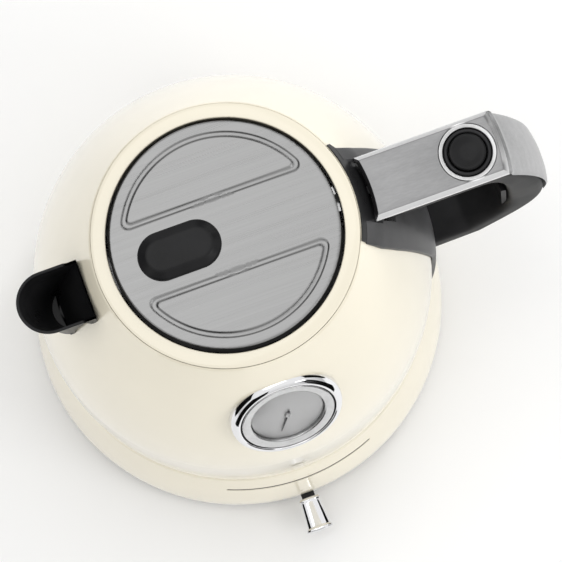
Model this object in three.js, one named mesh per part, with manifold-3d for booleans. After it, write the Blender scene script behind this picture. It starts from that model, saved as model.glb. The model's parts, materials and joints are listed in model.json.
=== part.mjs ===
// Electric kettle on its power base, in millimetres, +Z up.
// The origin is on the table at the centre of the base. The spout points to -X, the handle to +X and
// the temperature gauge and lever to -Y.
import * as THREE from "three";
import { mergeVertices } from "three/addons/utils/BufferGeometryUtils.js";
import Module from "manifold-3d";

const wasm = await Module();
wasm.setup();

// ---------------------------------------------------------------- driving dimensions
const GAP = 0.35; // between pieces that touch
const SLIDE_FIT = 0.4; // between pieces that slide or turn in each other
const ROUND_STEPS = 36; // facets round a large turned piece
const SMALL_STEPS = 16; // facets round a small turned piece

// Jug
const LID_TOP = 220; // height of the lid's rim
const COLLAR_DROP = 4; // from the lid's rim down to the shell's top edge
const COLLAR_R = 69; // crease between the collar and the dome
const COLLAR_THICK = 1.5;
const NECK_R = 61.3; // bore that the lid drops into
const NECK_WALL = 2.4;
const NECK_DEPTH = 14;
const BODY_R = 103.5; // widest part of the jug
const BODY_Z = 110; // height of the widest part
const DOME_POWER = 1.6;
const SHELL_WALL = 1.5;
const SEAM_IN = 4.1;
const SEAM_R = BODY_R - SEAM_IN; // seam between jug and base
const SEAM_Z = 51;
const SEAM_OPEN = 0.8;
const VESSEL_SPACE = 9; // from the shell's outer face to the vessel
const VESSEL_WALL = 0.9;
const VESSEL_FLOOR = 67;

// Power base
const SKIRT_FLARE = 3.5;
const SKIRT_R = BODY_R + SKIRT_FLARE; // widest part of the skirt
const SKIRT_Z = 19;
const SKIRT_TUCK = 3.5; // from the widest part in to the foot
const SKIRT_FOOT_R = SKIRT_R - SKIRT_TUCK;
const SKIRT_FOOT_Z = 3;
const SKIRT_WALL = 2.4;
const DECK_THICK = 3;
const BOTTOM_THICK = 2.4;
const HUB_R = 16;
const FOOT_R = 7;
const FOOT_IN = 23;
const FOOT_RING_R = SKIRT_R - FOOT_IN;
const FEET = 4;
const SCREWS = 3;
const CONNECTOR_R = 11;
const CONNECTOR_TOP = 58;
const SCALE_Z = 39.5; // thin dark line over the lever
const SCALE_HIGH = 1.1;
const SCALE_DEEP = 1;
const SCALE_ANGLE = 45;
const GLAND_R = 6;
const GLAND_BORE_R = 3.6;
const GLAND_Z = 12;

// Temperature lever
const LEVER_Z = 13;
const LEVER_TRAVEL = 19.5; // degrees each way
const LEVER_OUT = 1; // from the skirt's widest part to the knob
const LEVER_LONG = 20;
const LEVER_ROOT_R = SKIRT_R + LEVER_OUT;
const LEVER_TIP_R = LEVER_ROOT_R + LEVER_LONG;
const LEVER_ROOT_W = 11.3;
const LEVER_TIP_W = 14.5;
const LEVER_HIGH = 7;
const STEM_W = 7;
const STEM_HIGH = 4;

// Lid
const LID_FIT = 1.9; // between the lid's plate and the neck
const LID_R = NECK_R - LID_FIT;
const LID_SKIN = 1;
const LINER_STEP = 2; // from the plate's edge in to the liner
const LID_LINER_R = LID_R - LINER_STEP;
const LID_LINER_DEEP = 9;
const PAD_LONG = 43.6;
const PAD_WIDE = 25.2;
const PAD_X = -24.6;
const PAD_STEP = 1.4; // height of the pad's chamfer
const PAD_CHAMFER = 2.4;
const PAD_EDGE = 0.6; // height of the pad's upright edge
const LID_CROWN = 0.8;
const HINGE_IN = 9.3; // from the neck's bore in to the hinge axis
const HINGE_X = NECK_R - HINGE_IN;
const HINGE_DROP = 3; // hinge axis below the lid's rim
const PIN_R = 0.9;
const PIN_LONG = 30;
const PIN_FIT = 0.06;
const KNUCKLE_R = 1.7;
const KNUCKLE_HALF = 7;

// Spout
const SPOUT_W = 33;
const SPOUT_TIP_X = -113;
const SPOUT_ROOT_X = -76;
const SPOUT_DROP = 12; // from the lid's rim down to the spout's rim
const SPOUT_WALL = 2.4;
const SPOUT_DEEP = 48;
const THROAT_W = 22;
const THROAT_DROP = 28; // from the lid's rim down to the throat
const THROAT_HIGH = 22;
const THROAT_TOP = LID_TOP - THROAT_DROP;
const THROAT_LOW = THROAT_TOP - THROAT_HIGH;
const FILTER_OUT = 0.7; // the filter's place outside the neck's bore

// Temperature gauge
const GAUGE_SINK = 0.19; // centre of the bezel's outer edge, in from the dome's surface
const GAUGE_DROP = 48.8;
const GAUGE_Z = LID_TOP - GAUGE_DROP;
const GAUGE_LEAN = 4.75; // degrees that its face leans back from the dome's slope
const GAUGE_R = 30;
const BEZEL_CREST_R = 26.6;
const BEZEL_RISE = 3.9;
const BEZEL_SINK = 6;
const RING_R = 25;
const DIAL_R = 19.3;
const NEEDLE_LONG = 13;

// Handle
const HANDLE_W = 35;
const PLATE_START = 77.5;
const PLATE_END = 150;
const PLATE_DROP = 12; // from the lid's rim down to the plate's top
const PLATE_THICK = 4;
const ARM_THICK = 17; // black arm under the plate
const END_X = 168; // furthest point of the handle
const END_Z = 122;
const SKIN_THICK = 3;
const GRIP_THICK = 18;
const BUTTON_X = 132.5;
const BUTTON_R = 9.7;
const RING_WIDE = 2.7;
const DISH_WIDE = 2.4;
const BUTTON_RING_R = BUTTON_R + RING_WIDE;
const DISH_R = BUTTON_RING_R + DISH_WIDE;
const BUTTON_TRAVEL = 3;
const BUTTON_DEEP = 12; // from the arm's top down to the bottom of the button's pocket
const CAP_HIGH = 2.8; // part of the button's cap below the plate's top
const STEM_R = 2;
const SPRING_R = 3.4;
const WIRE_R = 0.45;
const ROD_HIGH = 2.4;
const LOWER_Z = 73; // where the lower arm meets the jug
const SKIN_LOW = 108; // lowest edge of the silver skin
const SADDLE_HALF = 30;
const SADDLE_ROOT = 26; // half its width beside the collar
const SADDLE_TAPER = 3;
const SADDLE_THICK = 3;

// Lid catch
const CATCH_DROP = 8.8; // from the lid's rim down to the tongue's top
const CATCH_HIGH = 2.4;
const CATCH_FIT = 0.1; // between the catch's cross bar and the liner's ledge
const CATCH_HALF = 2;
const CATCH_BAR = 1.1;
const CATCH_BAR_HALF = 8.5;
const LEDGE_R = LID_LINER_R - 4; // liner's edge under its catch ledge
const BRACKET_FOOT = 2;

// ---------------------------------------------------------------- geometry helpers
const radians = THREE.MathUtils.degToRad;
const group = new THREE.Group();

// A closed three.js geometry as a manifold-3d solid with its faces pointing out.
function solid(geometry) {
  const bare = geometry.index ? geometry.toNonIndexed() : geometry.clone();
  bare.deleteAttribute("normal");
  bare.deleteAttribute("uv");
  const merged = mergeVertices(bare, 1e-4);
  const vertProperties = new Float32Array(merged.attributes.position.array);
  const triVerts = new Uint32Array(merged.index.array);
  const made = new wasm.Manifold(new wasm.Mesh({ numProp: 3, vertProperties, triVerts }));
  if (made.volume() > 0) {
    return made;
  }
  for (let i = 0; i < triVerts.length; i += 3) {
    [triVerts[i + 1], triVerts[i + 2]] = [triVerts[i + 2], triVerts[i + 1]];
  }
  return new wasm.Manifold(new wasm.Mesh({ numProp: 3, vertProperties, triVerts }));
}

// The solid's faces as a three.js geometry.
function geometryOf(made) {
  const mesh = made.getMesh();
  const positions = new Float32Array(mesh.numVert * 3);
  for (let i = 0; i < mesh.numVert; i++) {
    const start = i * mesh.numProp;
    positions.set(mesh.vertProperties.subarray(start, start + 3), i * 3);
  }
  const geometry = new THREE.BufferGeometry();
  geometry.setAttribute("position", new THREE.BufferAttribute(positions, 3));
  geometry.setIndex(new THREE.BufferAttribute(new Uint32Array(mesh.triVerts), 1));
  geometry.computeVertexNormals();
  return geometry;
}

// A profile of [radius, height] points turned about the Z axis; a ring's profile closes on itself.
function turned(profile, steps = ROUND_STEPS) {
  const points = profile.map(([r, z]) => new THREE.Vector2(Math.max(r, 0), z));
  const first = points[0];
  const last = points[points.length - 1];
  if (first.x > 0 || last.x > 0) {
    points.push(first.clone());
  }
  return solid(new THREE.LatheGeometry(points, steps).rotateX(Math.PI / 2));
}

// A shape in the XY plane, from height low to height high.
function upright(shape, low, high, curveSegments = 12) {
  const options = { depth: high - low, bevelEnabled: false, curveSegments };
  return solid(new THREE.ExtrudeGeometry(shape, options).translate(0, 0, low));
}

// A shape in the XZ plane, width wide and centred on Y = 0.
function sideways(shape, width, curveSegments = 10) {
  const options = { depth: width, bevelEnabled: false, curveSegments };
  const geometry = new THREE.ExtrudeGeometry(shape, options).rotateX(Math.PI / 2);
  return solid(geometry.translate(0, width / 2, 0));
}

function block(x0, x1, y0, y1, z0, z1) {
  const geometry = new THREE.BoxGeometry(x1 - x0, y1 - y0, z1 - z0);
  return solid(geometry.translate((x0 + x1) / 2, (y0 + y1) / 2, (z0 + z1) / 2));
}

function outline(points) {
  return new THREE.Shape(points.map(([x, y]) => new THREE.Vector2(x, y)));
}

// Points of a profile moved square to it by distance, to the left of its direction.
function offset(profile, distance) {
  return profile.map((point, i) => {
    const before = profile[Math.max(i - 1, 0)];
    const after = profile[Math.min(i + 1, profile.length - 1)];
    const dr = after[0] - before[0];
    const dz = after[1] - before[1];
    const length = Math.hypot(dr, dz);
    return [point[0] - (distance * dz) / length, point[1] + (distance * dr) / length];
  });
}

function steps(count, from, to) {
  return Array.from({ length: count + 1 }, (_, i) => from + ((to - from) * i) / count);
}

function material(color, roughness, metalness) {
  return { color, roughness, metalness };
}

const CREAM = material(0xf3ead2, 0.18, 0.0);
const STEEL = material(0xb9b8b5, 0.32, 1.0);
const CHROME = material(0xd6d7d9, 0.08, 1.0);
const ALUMINIUM = material(0xb4b4b3, 0.38, 1.0);
const BLACK = material(0x171718, 0.45, 0.0);
const SOFT_BLACK = material(0x1d1d1e, 0.7, 0.0);
const WHITE = material(0xdcdcd8, 0.4, 0.1);
const GLASS = material(0xf4f6f8, 0.05, 0.0);
const BOARD = material(0x1f5a35, 0.6, 0.0);

function add(name, made, look, parent = group) {
  const mesh = new THREE.Mesh(geometryOf(made), new THREE.MeshStandardMaterial(look));
  mesh.name = name;
  parent.add(mesh);
  return mesh;
}

// ---------------------------------------------------------------- outer form
const SHELL_TOP = LID_TOP - COLLAR_DROP;

// Outer radius of the jug at a height: a dome down to the widest part, then a slight taper.
function bodyRadius(z) {
  if (z >= BODY_Z) {
    const t = (SHELL_TOP + 1 - z) / (SHELL_TOP + 1 - BODY_Z);
    return COLLAR_R + (BODY_R - COLLAR_R) * (1 - Math.pow(1 - t, DOME_POWER));
  }
  const t = (BODY_Z - z) / (BODY_Z - SEAM_Z);
  return SEAM_R + (BODY_R - SEAM_R) * (1 - t * t);
}

// Outer radius of the base's skirt at a height: a flare down to its widest part, then tucked in.
function skirtRadius(z) {
  if (z >= SKIRT_Z) {
    const t = (SEAM_Z - z) / (SEAM_Z - SKIRT_Z);
    return SEAM_R + (SKIRT_R - SEAM_R) * (1 - Math.pow(1 - t, 1.45));
  }
  const t = (SKIRT_Z - z) / (SKIRT_Z - SKIRT_FOOT_Z);
  return SKIRT_R - (SKIRT_R - SKIRT_FOOT_R) * t * t;
}

const SHELL_LOW = SEAM_Z + SEAM_OPEN;
const bodyHeights = [...steps(3, SHELL_LOW, BODY_Z), ...steps(8, BODY_Z, SHELL_TOP).slice(1)];
const bodyLine = bodyHeights.map((z) => [bodyRadius(z), z]);
const skirtHeights = [...steps(2, SKIRT_FOOT_Z, SKIRT_Z), ...steps(4, SKIRT_Z, SEAM_Z).slice(1)];
const skirtLine = skirtHeights.map((z) => [skirtRadius(z), z]);

// The jug's whole outer form, grown by a distance, as a solid to cut neighbours with.
function bodyForm(grow) {
  const line = offset(bodyLine, -grow);
  const top = line[line.length - 1];
  return turned([[0, line[0][1]], ...line, [0, top[1]]]);
}

// ---------------------------------------------------------------- power base
const BOTTOM_LOW = SKIRT_FOOT_Z;
const BOTTOM_TOP = BOTTOM_LOW + BOTTOM_THICK;
const DECK_TOP = SEAM_Z - 2;
const DECK_LOW = DECK_TOP - DECK_THICK;
const SLOT_HALF_ANGLE = LEVER_TRAVEL + 4;

// A ring sector round -Y, from radius inner to outer, a half angle each side.
function frontSector(inner, outer, halfAngle, low, high) {
  const mid = -Math.PI / 2;
  const half = radians(halfAngle);
  const shape = new THREE.Shape();
  shape.absarc(0, 0, outer, mid - half, mid + half, false);
  shape.absarc(0, 0, inner, mid + half, mid - half, true);
  return upright(shape, low, high, 10);
}

function baseSkirt() {
  const inner = offset(skirtLine, SKIRT_WALL).reverse();
  const wall = turned([...skirtLine, ...inner]);
  const slotHalf = STEM_HIGH / 2 + SLIDE_FIT;
  const slot = frontSector(
    SKIRT_FOOT_R - 10, SKIRT_R + 5, SLOT_HALF_ANGLE, LEVER_Z - slotHalf, LEVER_Z + slotHalf,
  );
  const halfHigh = SCALE_HIGH / 2 + GAP;
  const groove = frontSector(
    skirtRadius(SCALE_Z) - SCALE_DEEP - GAP, SKIRT_R + 5, SCALE_ANGLE / 2 + 0.3,
    SCALE_Z - halfHigh, SCALE_Z + halfHigh,
  );
  return wall.subtract(slot).subtract(groove).subtract(glandHole(GLAND_R + GAP));
}


// A round hole through the back of the skirt, along Y.
function glandHole(radius) {
  const rod = new THREE.CylinderGeometry(radius, radius, 30, SMALL_STEPS);
  return solid(rod.translate(0, SKIRT_R, GLAND_Z));
}

function cordGland() {
  const outer = SKIRT_R + GAP + 1.1;
  const inner = outer - 12;
  const flange = GLAND_R + 1.6;
  const profile = [
    [GLAND_BORE_R, inner], [GLAND_R, inner], [GLAND_R, outer - 1.1],
    [flange, outer - 1.1], [flange, outer], [GLAND_BORE_R, outer],
  ];
  const points = [...profile, profile[0]].map(([r, y]) => new THREE.Vector2(r, y));
  const ring = solid(new THREE.LatheGeometry(points, SMALL_STEPS).translate(0, 0, GLAND_Z));
  return ring.subtract(turned([
    [0, 0], ...offset(skirtLine, -GAP).slice(0, 4), [0, SKIRT_Z + 20],
  ]).subtract(glandHole(GLAND_R + 0.1)));
}

function baseBottom() {
  const outer = SKIRT_FOOT_R - SKIRT_WALL - 1.2;
  const plate = turned([
    [0, 0], [HUB_R, 0], [HUB_R, BOTTOM_LOW], [outer, BOTTOM_LOW], [outer, BOTTOM_TOP],
    [HUB_R - 3, BOTTOM_TOP], [HUB_R - 3, LEVER_Z + 6], [0, LEVER_Z + 6],
  ]);
  return screwPlaces().reduce((made, [x, y]) => {
    const hole = turned([[0, -1], [1.9, -1], [1.9, BOTTOM_TOP + 1], [0, BOTTOM_TOP + 1]], 12);
    return made.subtract(hole.translate([x, y, 0]));
  }, plate);
}

function screwPlaces() {
  return steps(SCREWS - 1, 0, 1).map((_, i) => {
    const angle = (2 * Math.PI * i) / SCREWS + Math.PI / 6;
    return [Math.cos(angle) * 60, Math.sin(angle) * 60];
  });
}

function baseDeck() {
  const inner = CONNECTOR_R + 3;
  const outer = SEAM_R - SKIRT_WALL - 0.6;
  return turned([
    [inner, DECK_LOW], [outer, DECK_LOW], [outer, DECK_TOP], [inner, DECK_TOP],
  ]);
}

// The post that carries the mains to the jug, stepped like a plug.
function baseConnector() {
  const flange = CONNECTOR_R + 8;
  return turned([
    [0, DECK_LOW - 8], [flange, DECK_LOW - 8], [flange, DECK_LOW - GAP],
    [CONNECTOR_R, DECK_LOW - GAP], [CONNECTOR_R, DECK_TOP + 5], [CONNECTOR_R - 3.4, DECK_TOP + 5],
    [CONNECTOR_R - 3.4, CONNECTOR_TOP - 1], [CONNECTOR_R - 4.4, CONNECTOR_TOP], [0, CONNECTOR_TOP],
  ], 24);
}

function controlBoard() {
  const low = LEVER_Z + 12;
  const board = block(28, 78, -24, 24, low, low + 1.6);
  const relay = block(36, 54, -12, 6, low + 1, low + 12);
  const capacitor = block(60, 70, -4, 14, low + 1, low + 9);
  return board.add(relay).add(capacitor);
}

// ---------------------------------------------------------------- temperature lever
// A ring on the hub with a flat arm that reaches the slot.
function leverArm() {
  const bore = HUB_R - 3 + SLIDE_FIT;
  const low = LEVER_Z - STEM_HIGH / 2;
  const high = LEVER_Z + STEM_HIGH / 2;
  const ring = turned([[bore, low], [bore + 5, low], [bore + 5, high], [bore, high]], 28);
  const reach = SKIRT_FOOT_R - 12;
  return ring.add(block(-STEM_W / 2, STEM_W / 2, -reach, -bore - 2, low, high));
}

function leverNeck() {
  const inner = -(SKIRT_FOOT_R - 12) - GAP;
  const half = STEM_W / 2;
  return block(-half, half, -LEVER_ROOT_R - 1, inner, LEVER_Z - STEM_HIGH / 2, LEVER_Z + STEM_HIGH / 2);
}

// The chrome knob: widens towards a flared, chamfered end.
function leverKnob() {
  const root = LEVER_ROOT_W / 2;
  const tip = LEVER_TIP_W / 2;
  const start = -LEVER_ROOT_R - 1 - GAP;
  const flange = -LEVER_TIP_R + 3.4;
  const plan = outline([
    [-root, start], [-root, flange + 1.5], [-tip, flange], [-tip, -LEVER_TIP_R + 0.8],
    [-tip + 0.8, -LEVER_TIP_R], [tip - 0.8, -LEVER_TIP_R], [tip, -LEVER_TIP_R + 0.8],
    [tip, flange], [root, flange + 1.5], [root, start],
  ]);
  return upright(plan, LEVER_Z - LEVER_HIGH / 2, LEVER_Z + LEVER_HIGH / 2);
}

// ---------------------------------------------------------------- jug
const VESSEL_TOP = LID_TOP - NECK_DEPTH - 1.6;

// The vessel's outer line: parallel to the shell, closed in to the neck and rounded at the floor.
const vesselLine = [
  [0, VESSEL_FLOOR],
  [bodyRadius(VESSEL_FLOOR) - VESSEL_SPACE - 8, VESSEL_FLOOR],
  [bodyRadius(VESSEL_FLOOR) - VESSEL_SPACE - 2, VESSEL_FLOOR + 3],
  ...steps(4, VESSEL_FLOOR + 8, VESSEL_TOP - 14).map((z) => [bodyRadius(z) - VESSEL_SPACE, z]),
  [NECK_R + NECK_WALL - 1, VESSEL_TOP - 6],
  [NECK_R + NECK_WALL - 2, VESSEL_TOP],
];

function vesselForm(grow) {
  const line = grow ? offset(vesselLine, -grow) : vesselLine;
  const top = line[line.length - 1];
  return turned([[0, line[0][1]], ...line.slice(1), [0, top[1]]]);
}

// Room for the throat of the spout, grown by a clearance.
function throatRoom(grow, from, to) {
  const half = THROAT_W / 2 + grow;
  return block(from, to, -half, half, THROAT_LOW - grow, THROAT_TOP + grow);
}

// Turns a solid made about the Z axis onto the gauge's own axis.
function onGauge(made) {
  const slope = Math.atan(bodyRadius(GAUGE_Z - 0.5) - bodyRadius(GAUGE_Z + 0.5));
  const matrix = new THREE.Matrix4().makeRotationX(Math.PI / 2 - slope - radians(GAUGE_LEAN));
  matrix.setPosition(0, GAUGE_SINK - bodyRadius(GAUGE_Z), GAUGE_Z);
  return made.transform([...matrix.elements]);
}

function gaugeHole() {
  const r = BEZEL_CREST_R + 1;
  return onGauge(turned([[0, -40], [r, -40], [r, 30], [0, 30]], 28));
}

function outerShell() {
  const wall = turned([...bodyLine, ...offset(bodyLine, SHELL_WALL).reverse()]);
  return wall.subtract(throatRoom(GAP, -BODY_R, -40)).subtract(gaugeHole()).subtract(rodRoom()[0]);
}

function neckRing() {
  const low = LID_TOP - NECK_DEPTH;
  const outer = NECK_R + NECK_WALL;
  const flange = SHELL_TOP + GAP;
  const rim = flange + COLLAR_THICK;
  return turned([
    [NECK_R, low], [outer, low], [outer, flange], [COLLAR_R, flange], [COLLAR_R, rim],
    [NECK_R, rim],
  ]).subtract(rodRoom()[1]);
}

function innerVessel() {
  const inner = offset(vesselLine, VESSEL_WALL).reverse();
  inner[inner.length - 1][0] = 0;
  const wall = turned([...vesselLine, ...inner]);
  return wall.subtract(throatRoom(-2, -BODY_R, -40));
}

function heaterPlate() {
  const low = VESSEL_FLOOR - 7;
  const top = VESSEL_FLOOR - GAP;
  return turned([[0, low + 2], [60, low + 2], [60, low], [70, low], [70, top], [0, top]], 36);
}

function jugConnector() {
  const low = SEAM_Z;
  const bore = CONNECTOR_R + SLIDE_FIT;
  const outer = CONNECTOR_R + 9;
  const top = VESSEL_FLOOR - 5 - GAP;
  return turned([
    [bore, low], [outer, low], [outer, top], [0, top], [0, CONNECTOR_TOP + 1], [bore, CONNECTOR_TOP + 1],
  ], 28);
}

// The black cover under the jug; its rim stands on the base's deck.
function jugBaseCover() {
  const inner = CONNECTOR_R + 9 + SLIDE_FIT;
  const outer = SEAM_R - SHELL_WALL - 1.4;
  const low = SHELL_LOW + 0.4;
  const foot = DECK_TOP + GAP;
  return turned([
    [inner, low], [outer - 10, low], [outer - 10, foot], [outer - 6, foot], [outer - 6, low],
    [outer, low], [outer, low + 2.4], [inner, low + 2.4],
  ]);
}

// Plan of the spout: a tongue with a half-round end and a straight root.
function spoutPlan(wall, root) {
  const r = SPOUT_W / 2 - wall;
  const centre = SPOUT_TIP_X + SPOUT_W / 2;
  const shape = new THREE.Shape();
  shape.moveTo(root, r);
  shape.lineTo(centre, r);
  shape.absarc(centre, 0, r, Math.PI / 2, (3 * Math.PI) / 2, false);
  shape.lineTo(root, -r);
  return shape;
}

function spout() {
  const top = LID_TOP - SPOUT_DROP;
  const low = top - SPOUT_DEEP;
  const side = new THREE.Shape();
  side.moveTo(SPOUT_ROOT_X + 20, top);
  side.lineTo(SPOUT_TIP_X - 1, top);
  side.lineTo(SPOUT_TIP_X, top - 3);
  side.quadraticCurveTo(SPOUT_TIP_X + 12, top - 22, SPOUT_TIP_X + 17, low);
  side.lineTo(SPOUT_ROOT_X + 20, low);
  const blank = upright(spoutPlan(0, SPOUT_ROOT_X), low, top).intersect(sideways(side, SPOUT_W + 2));
  const floor = new THREE.Shape();
  floor.moveTo(SPOUT_ROOT_X + 40, top + 5);
  floor.lineTo(SPOUT_TIP_X, top + 5);
  floor.lineTo(SPOUT_TIP_X + SPOUT_WALL, top - 2);
  floor.quadraticCurveTo(SPOUT_TIP_X + 12, top - 17, SPOUT_TIP_X + 21, THROAT_LOW + SPOUT_WALL + 4);
  floor.lineTo(SPOUT_ROOT_X + 40, THROAT_LOW + SPOUT_WALL);
  const root = SPOUT_ROOT_X - SPOUT_WALL;
  const channel = upright(spoutPlan(SPOUT_WALL, root), low, top + 4)
    .intersect(sideways(floor, SPOUT_W));
  const throat = throatRoom(0, -95, -40).subtract(vesselForm(GAP));
  const bore = throatRoom(-SPOUT_WALL, -96, -30);
  return blank.subtract(bodyForm(GAP)).add(throat).subtract(channel).subtract(bore);
}

// The limescale filter: a frame with bars across its window.
function limescaleFilter() {
  const x = -NECK_R - FILTER_OUT;
  const frame = block(x, x + 2.4, -15, 15, THROAT_LOW - 6, THROAT_TOP + 2);
  const window = block(x - 1, x + 4, -12, 12, THROAT_LOW - 3, THROAT_TOP - 1);
  const bars = [-8, -4, 0, 4, 8].map((y) => {
    return block(x + 0.6, x + 1.8, y - 0.6, y + 0.6, THROAT_LOW - 4, THROAT_TOP);
  });
  const ledge = block(x, x + 8, -6, 6, THROAT_TOP + 1, THROAT_TOP + 3.4);
  return bars.reduce((made, bar) => made.add(bar), frame.subtract(window)).add(ledge);
}

// ---------------------------------------------------------------- temperature gauge
const RING_TOP = BEZEL_RISE - 0.9;
const DIAL_TOP = BEZEL_RISE - 2.6;

function gaugeBezel() {
  return onGauge(turned([
    [RING_R + GAP, -BEZEL_SINK], [GAUGE_R - 1, -BEZEL_SINK], [GAUGE_R, 0],
    [BEZEL_CREST_R, BEZEL_RISE], [RING_R + GAP, BEZEL_RISE - 0.8],
  ], 28)).subtract(frontOfShell());
}

// The shell's wall near the gauge, without its hole, grown so that the bezel sits on it.
function frontOfShell() {
  const wall = turned([...offset(bodyLine, -GAP), ...offset(bodyLine, SHELL_WALL + 30).reverse()]);
  return wall.subtract(gaugeHole());
}

function gaugeHousing() {
  const r = RING_R - 0.4;
  return onGauge(turned([
    [0, -4.6], [r, -4.6], [r, RING_TOP - 2.4], [r - 1.6, RING_TOP - 2.4],
    [r - 1.6, DIAL_TOP - 2.4], [0, DIAL_TOP - 2.4],
  ], 28));
}

function gaugeRing() {
  return onGauge(turned([
    [DIAL_R + GAP, DIAL_TOP - 1], [RING_R - 3, RING_TOP - 2], [RING_R, RING_TOP - 2],
    [RING_R, RING_TOP], [RING_R - 1.2, RING_TOP + 0.5], [DIAL_R + GAP, DIAL_TOP + 0.6],
  ], 28));
}

function gaugeDial() {
  const low = DIAL_TOP - 1.6;
  return onGauge(turned([[0, low], [DIAL_R, low], [DIAL_R, DIAL_TOP], [0, DIAL_TOP]], 28));
}

// The needle lies over the dial and points down to the left at rest.
function gaugeNeedle() {
  const low = DIAL_TOP + 0.3;
  const hub = turned([[0, low], [2, low], [2, low + 0.9], [0, low + 0.9]], 16);
  const plan = outline([[-3.6, -0.9], [NEEDLE_LONG, -0.25], [NEEDLE_LONG, 0.25], [-3.6, 0.9]]);
  const blade = upright(plan, low, low + 0.5);
  const turn = new THREE.Matrix4().makeRotationZ(radians(-115));
  return onGauge(hub.add(blade).transform([...turn.elements]));
}

function gaugeLens() {
  const low = DIAL_TOP + 1.6;
  return onGauge(turned([[0, low], [DIAL_R + 1.5, low], [DIAL_R + 1, low + 0.6], [0, low + 0.9]], 28));
}

// ---------------------------------------------------------------- handle
const PLATE_TOP = LID_TOP - PLATE_DROP;
const PLATE_LOW = PLATE_TOP - PLATE_THICK;
const ARM_TOP = PLATE_LOW - GAP;
const ARM_LOW = ARM_TOP - ARM_THICK;

// Outer line of the closed loop, seen from the side.
function loopOuter(inset) {
  const shape = new THREE.Shape();
  const tall = END_X - inset;
  shape.moveTo(60, ARM_TOP);
  shape.lineTo(PLATE_END - inset - 2, ARM_TOP);
  shape.bezierCurveTo(PLATE_END + 6 - inset, ARM_TOP - 14, tall, END_Z + 36, tall, END_Z);
  shape.bezierCurveTo(tall, END_Z - 26, tall - 14, LOWER_Z + 12, 132, LOWER_Z - 6);
  shape.lineTo(95, LOWER_Z - 10);
  shape.lineTo(60, LOWER_Z - 10);
  return shape;
}

function loopInner() {
  const shape = new THREE.Shape();
  const wall = END_X - SKIN_THICK - GRIP_THICK;
  shape.moveTo(60, ARM_LOW);
  shape.lineTo(PLATE_END - 18, ARM_LOW);
  shape.bezierCurveTo(PLATE_END - 6, ARM_LOW, wall, END_Z + 34, wall, END_Z);
  shape.bezierCurveTo(wall, END_Z - 22, wall - 8, LOWER_Z + 24, 124, LOWER_Z + 12);
  shape.lineTo(60, LOWER_Z + 10);
  return shape;
}

const BUTTON_LOW = ARM_TOP - BUTTON_DEEP;
const CAP_LOW = PLATE_TOP - CAP_HIGH;

function handleFrame() {
  const width = HANDLE_W - 3;
  const loop = sideways(loopOuter(SKIN_THICK), width).subtract(sideways(loopInner(), width + 4));
  const pocket = block(60, BUTTON_X + 11, -7, 7, BUTTON_LOW, ARM_TOP + 5);
  const room = BUTTON_R + SLIDE_FIT;
  const under = CAP_LOW - BUTTON_TRAVEL - GAP;
  const well = turned([[0, under], [room, under], [room, LID_TOP], [0, LID_TOP]], 28);
  return loop.subtract(bodyForm(SADDLE_THICK + 2 * GAP)).subtract(pocket)
    .subtract(well.translate([BUTTON_X, 0, 0]))
    .subtract(block(40, PLATE_START + 0.6, -40, 40, ARM_LOW - 20, ARM_TOP + 9));
}

function platePlan(grow) {
  const half = HANDLE_W / 2 + grow;
  const inner = Math.asin(half / PLATE_START);
  const shape = new THREE.Shape();
  shape.absarc(0, 0, PLATE_START - grow, -inner, inner, false);
  shape.lineTo(PLATE_END - 2, half);
  shape.quadraticCurveTo(PLATE_END + 2 + grow, 0, PLATE_END - 2, -half);
  return shape;
}

function handlePlate() {
  const hole = turned([[0, 0], [DISH_R + GAP, 0], [DISH_R + GAP, LID_TOP], [0, LID_TOP]], 28);
  return upright(platePlan(0), PLATE_LOW, PLATE_TOP).subtract(hole.translate([BUTTON_X, 0, 0]));
}

// The silver skin over the outer end of the handle.
function handleSkin() {
  const band = sideways(loopOuter(0), HANDLE_W).subtract(sideways(loopOuter(SKIN_THICK - GAP), HANDLE_W + 4));
  const keep = block(PLATE_END - 10, END_X + 5, -30, 30, SKIN_LOW, PLATE_TOP);
  return band.intersect(keep).subtract(upright(platePlan(GAP), PLATE_LOW - GAP, PLATE_TOP + 5));
}

function rootPlan(grow) {
  const half = Math.asin((SADDLE_HALF - 2 + grow) / (COLLAR_R + 1));
  const shape = new THREE.Shape();
  shape.absarc(0, 0, COLLAR_R + 0.8 - grow, -half, half, false);
  shape.lineTo(PLATE_START + 0.2 + grow, HANDLE_W / 2 + grow);
  shape.lineTo(PLATE_START + 0.2 + grow, -HANDLE_W / 2 - grow);
  return shape;
}

// The black crescent between the collar and the plate.
function handleRoot() {
  const blank = upright(rootPlan(0), ARM_LOW, SHELL_TOP - 5);
  return blank.subtract(bodyForm(GAP)).subtract(upright(platePlan(GAP), PLATE_LOW - GAP, LID_TOP))
    .subtract(rodRoom()[0]);
}

// The saddle hugs the dome under the handle, wider than the handle on both sides.
function saddle() {
  const shape = new THREE.Shape();
  const narrow = SADDLE_HALF - SADDLE_TAPER;
  shape.moveTo(COLLAR_R - 8, SADDLE_ROOT);
  shape.quadraticCurveTo(COLLAR_R + 9, SADDLE_HALF + 3.5, BODY_R - 8, SADDLE_HALF);
  shape.lineTo(BODY_R + 8, narrow);
  shape.lineTo(BODY_R + 8, -narrow);
  shape.lineTo(BODY_R - 8, -SADDLE_HALF);
  shape.quadraticCurveTo(COLLAR_R + 9, -SADDLE_HALF - 3.5, COLLAR_R - 8, -SADDLE_ROOT);
  const plan = upright(shape, LOWER_Z - 14, SHELL_TOP - 5);
  const half = HANDLE_W / 2 - 1.5 + GAP;
  const arm = block(40, END_X, -half, half, ARM_LOW - GAP, LID_TOP);
  return plan.intersect(bodyForm(SADDLE_THICK + GAP)).subtract(bodyForm(GAP)).subtract(arm)
    .subtract(upright(rootPlan(GAP), LOWER_Z, LID_TOP))
    .subtract(upright(platePlan(GAP), PLATE_LOW - GAP, LID_TOP));
}

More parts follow.
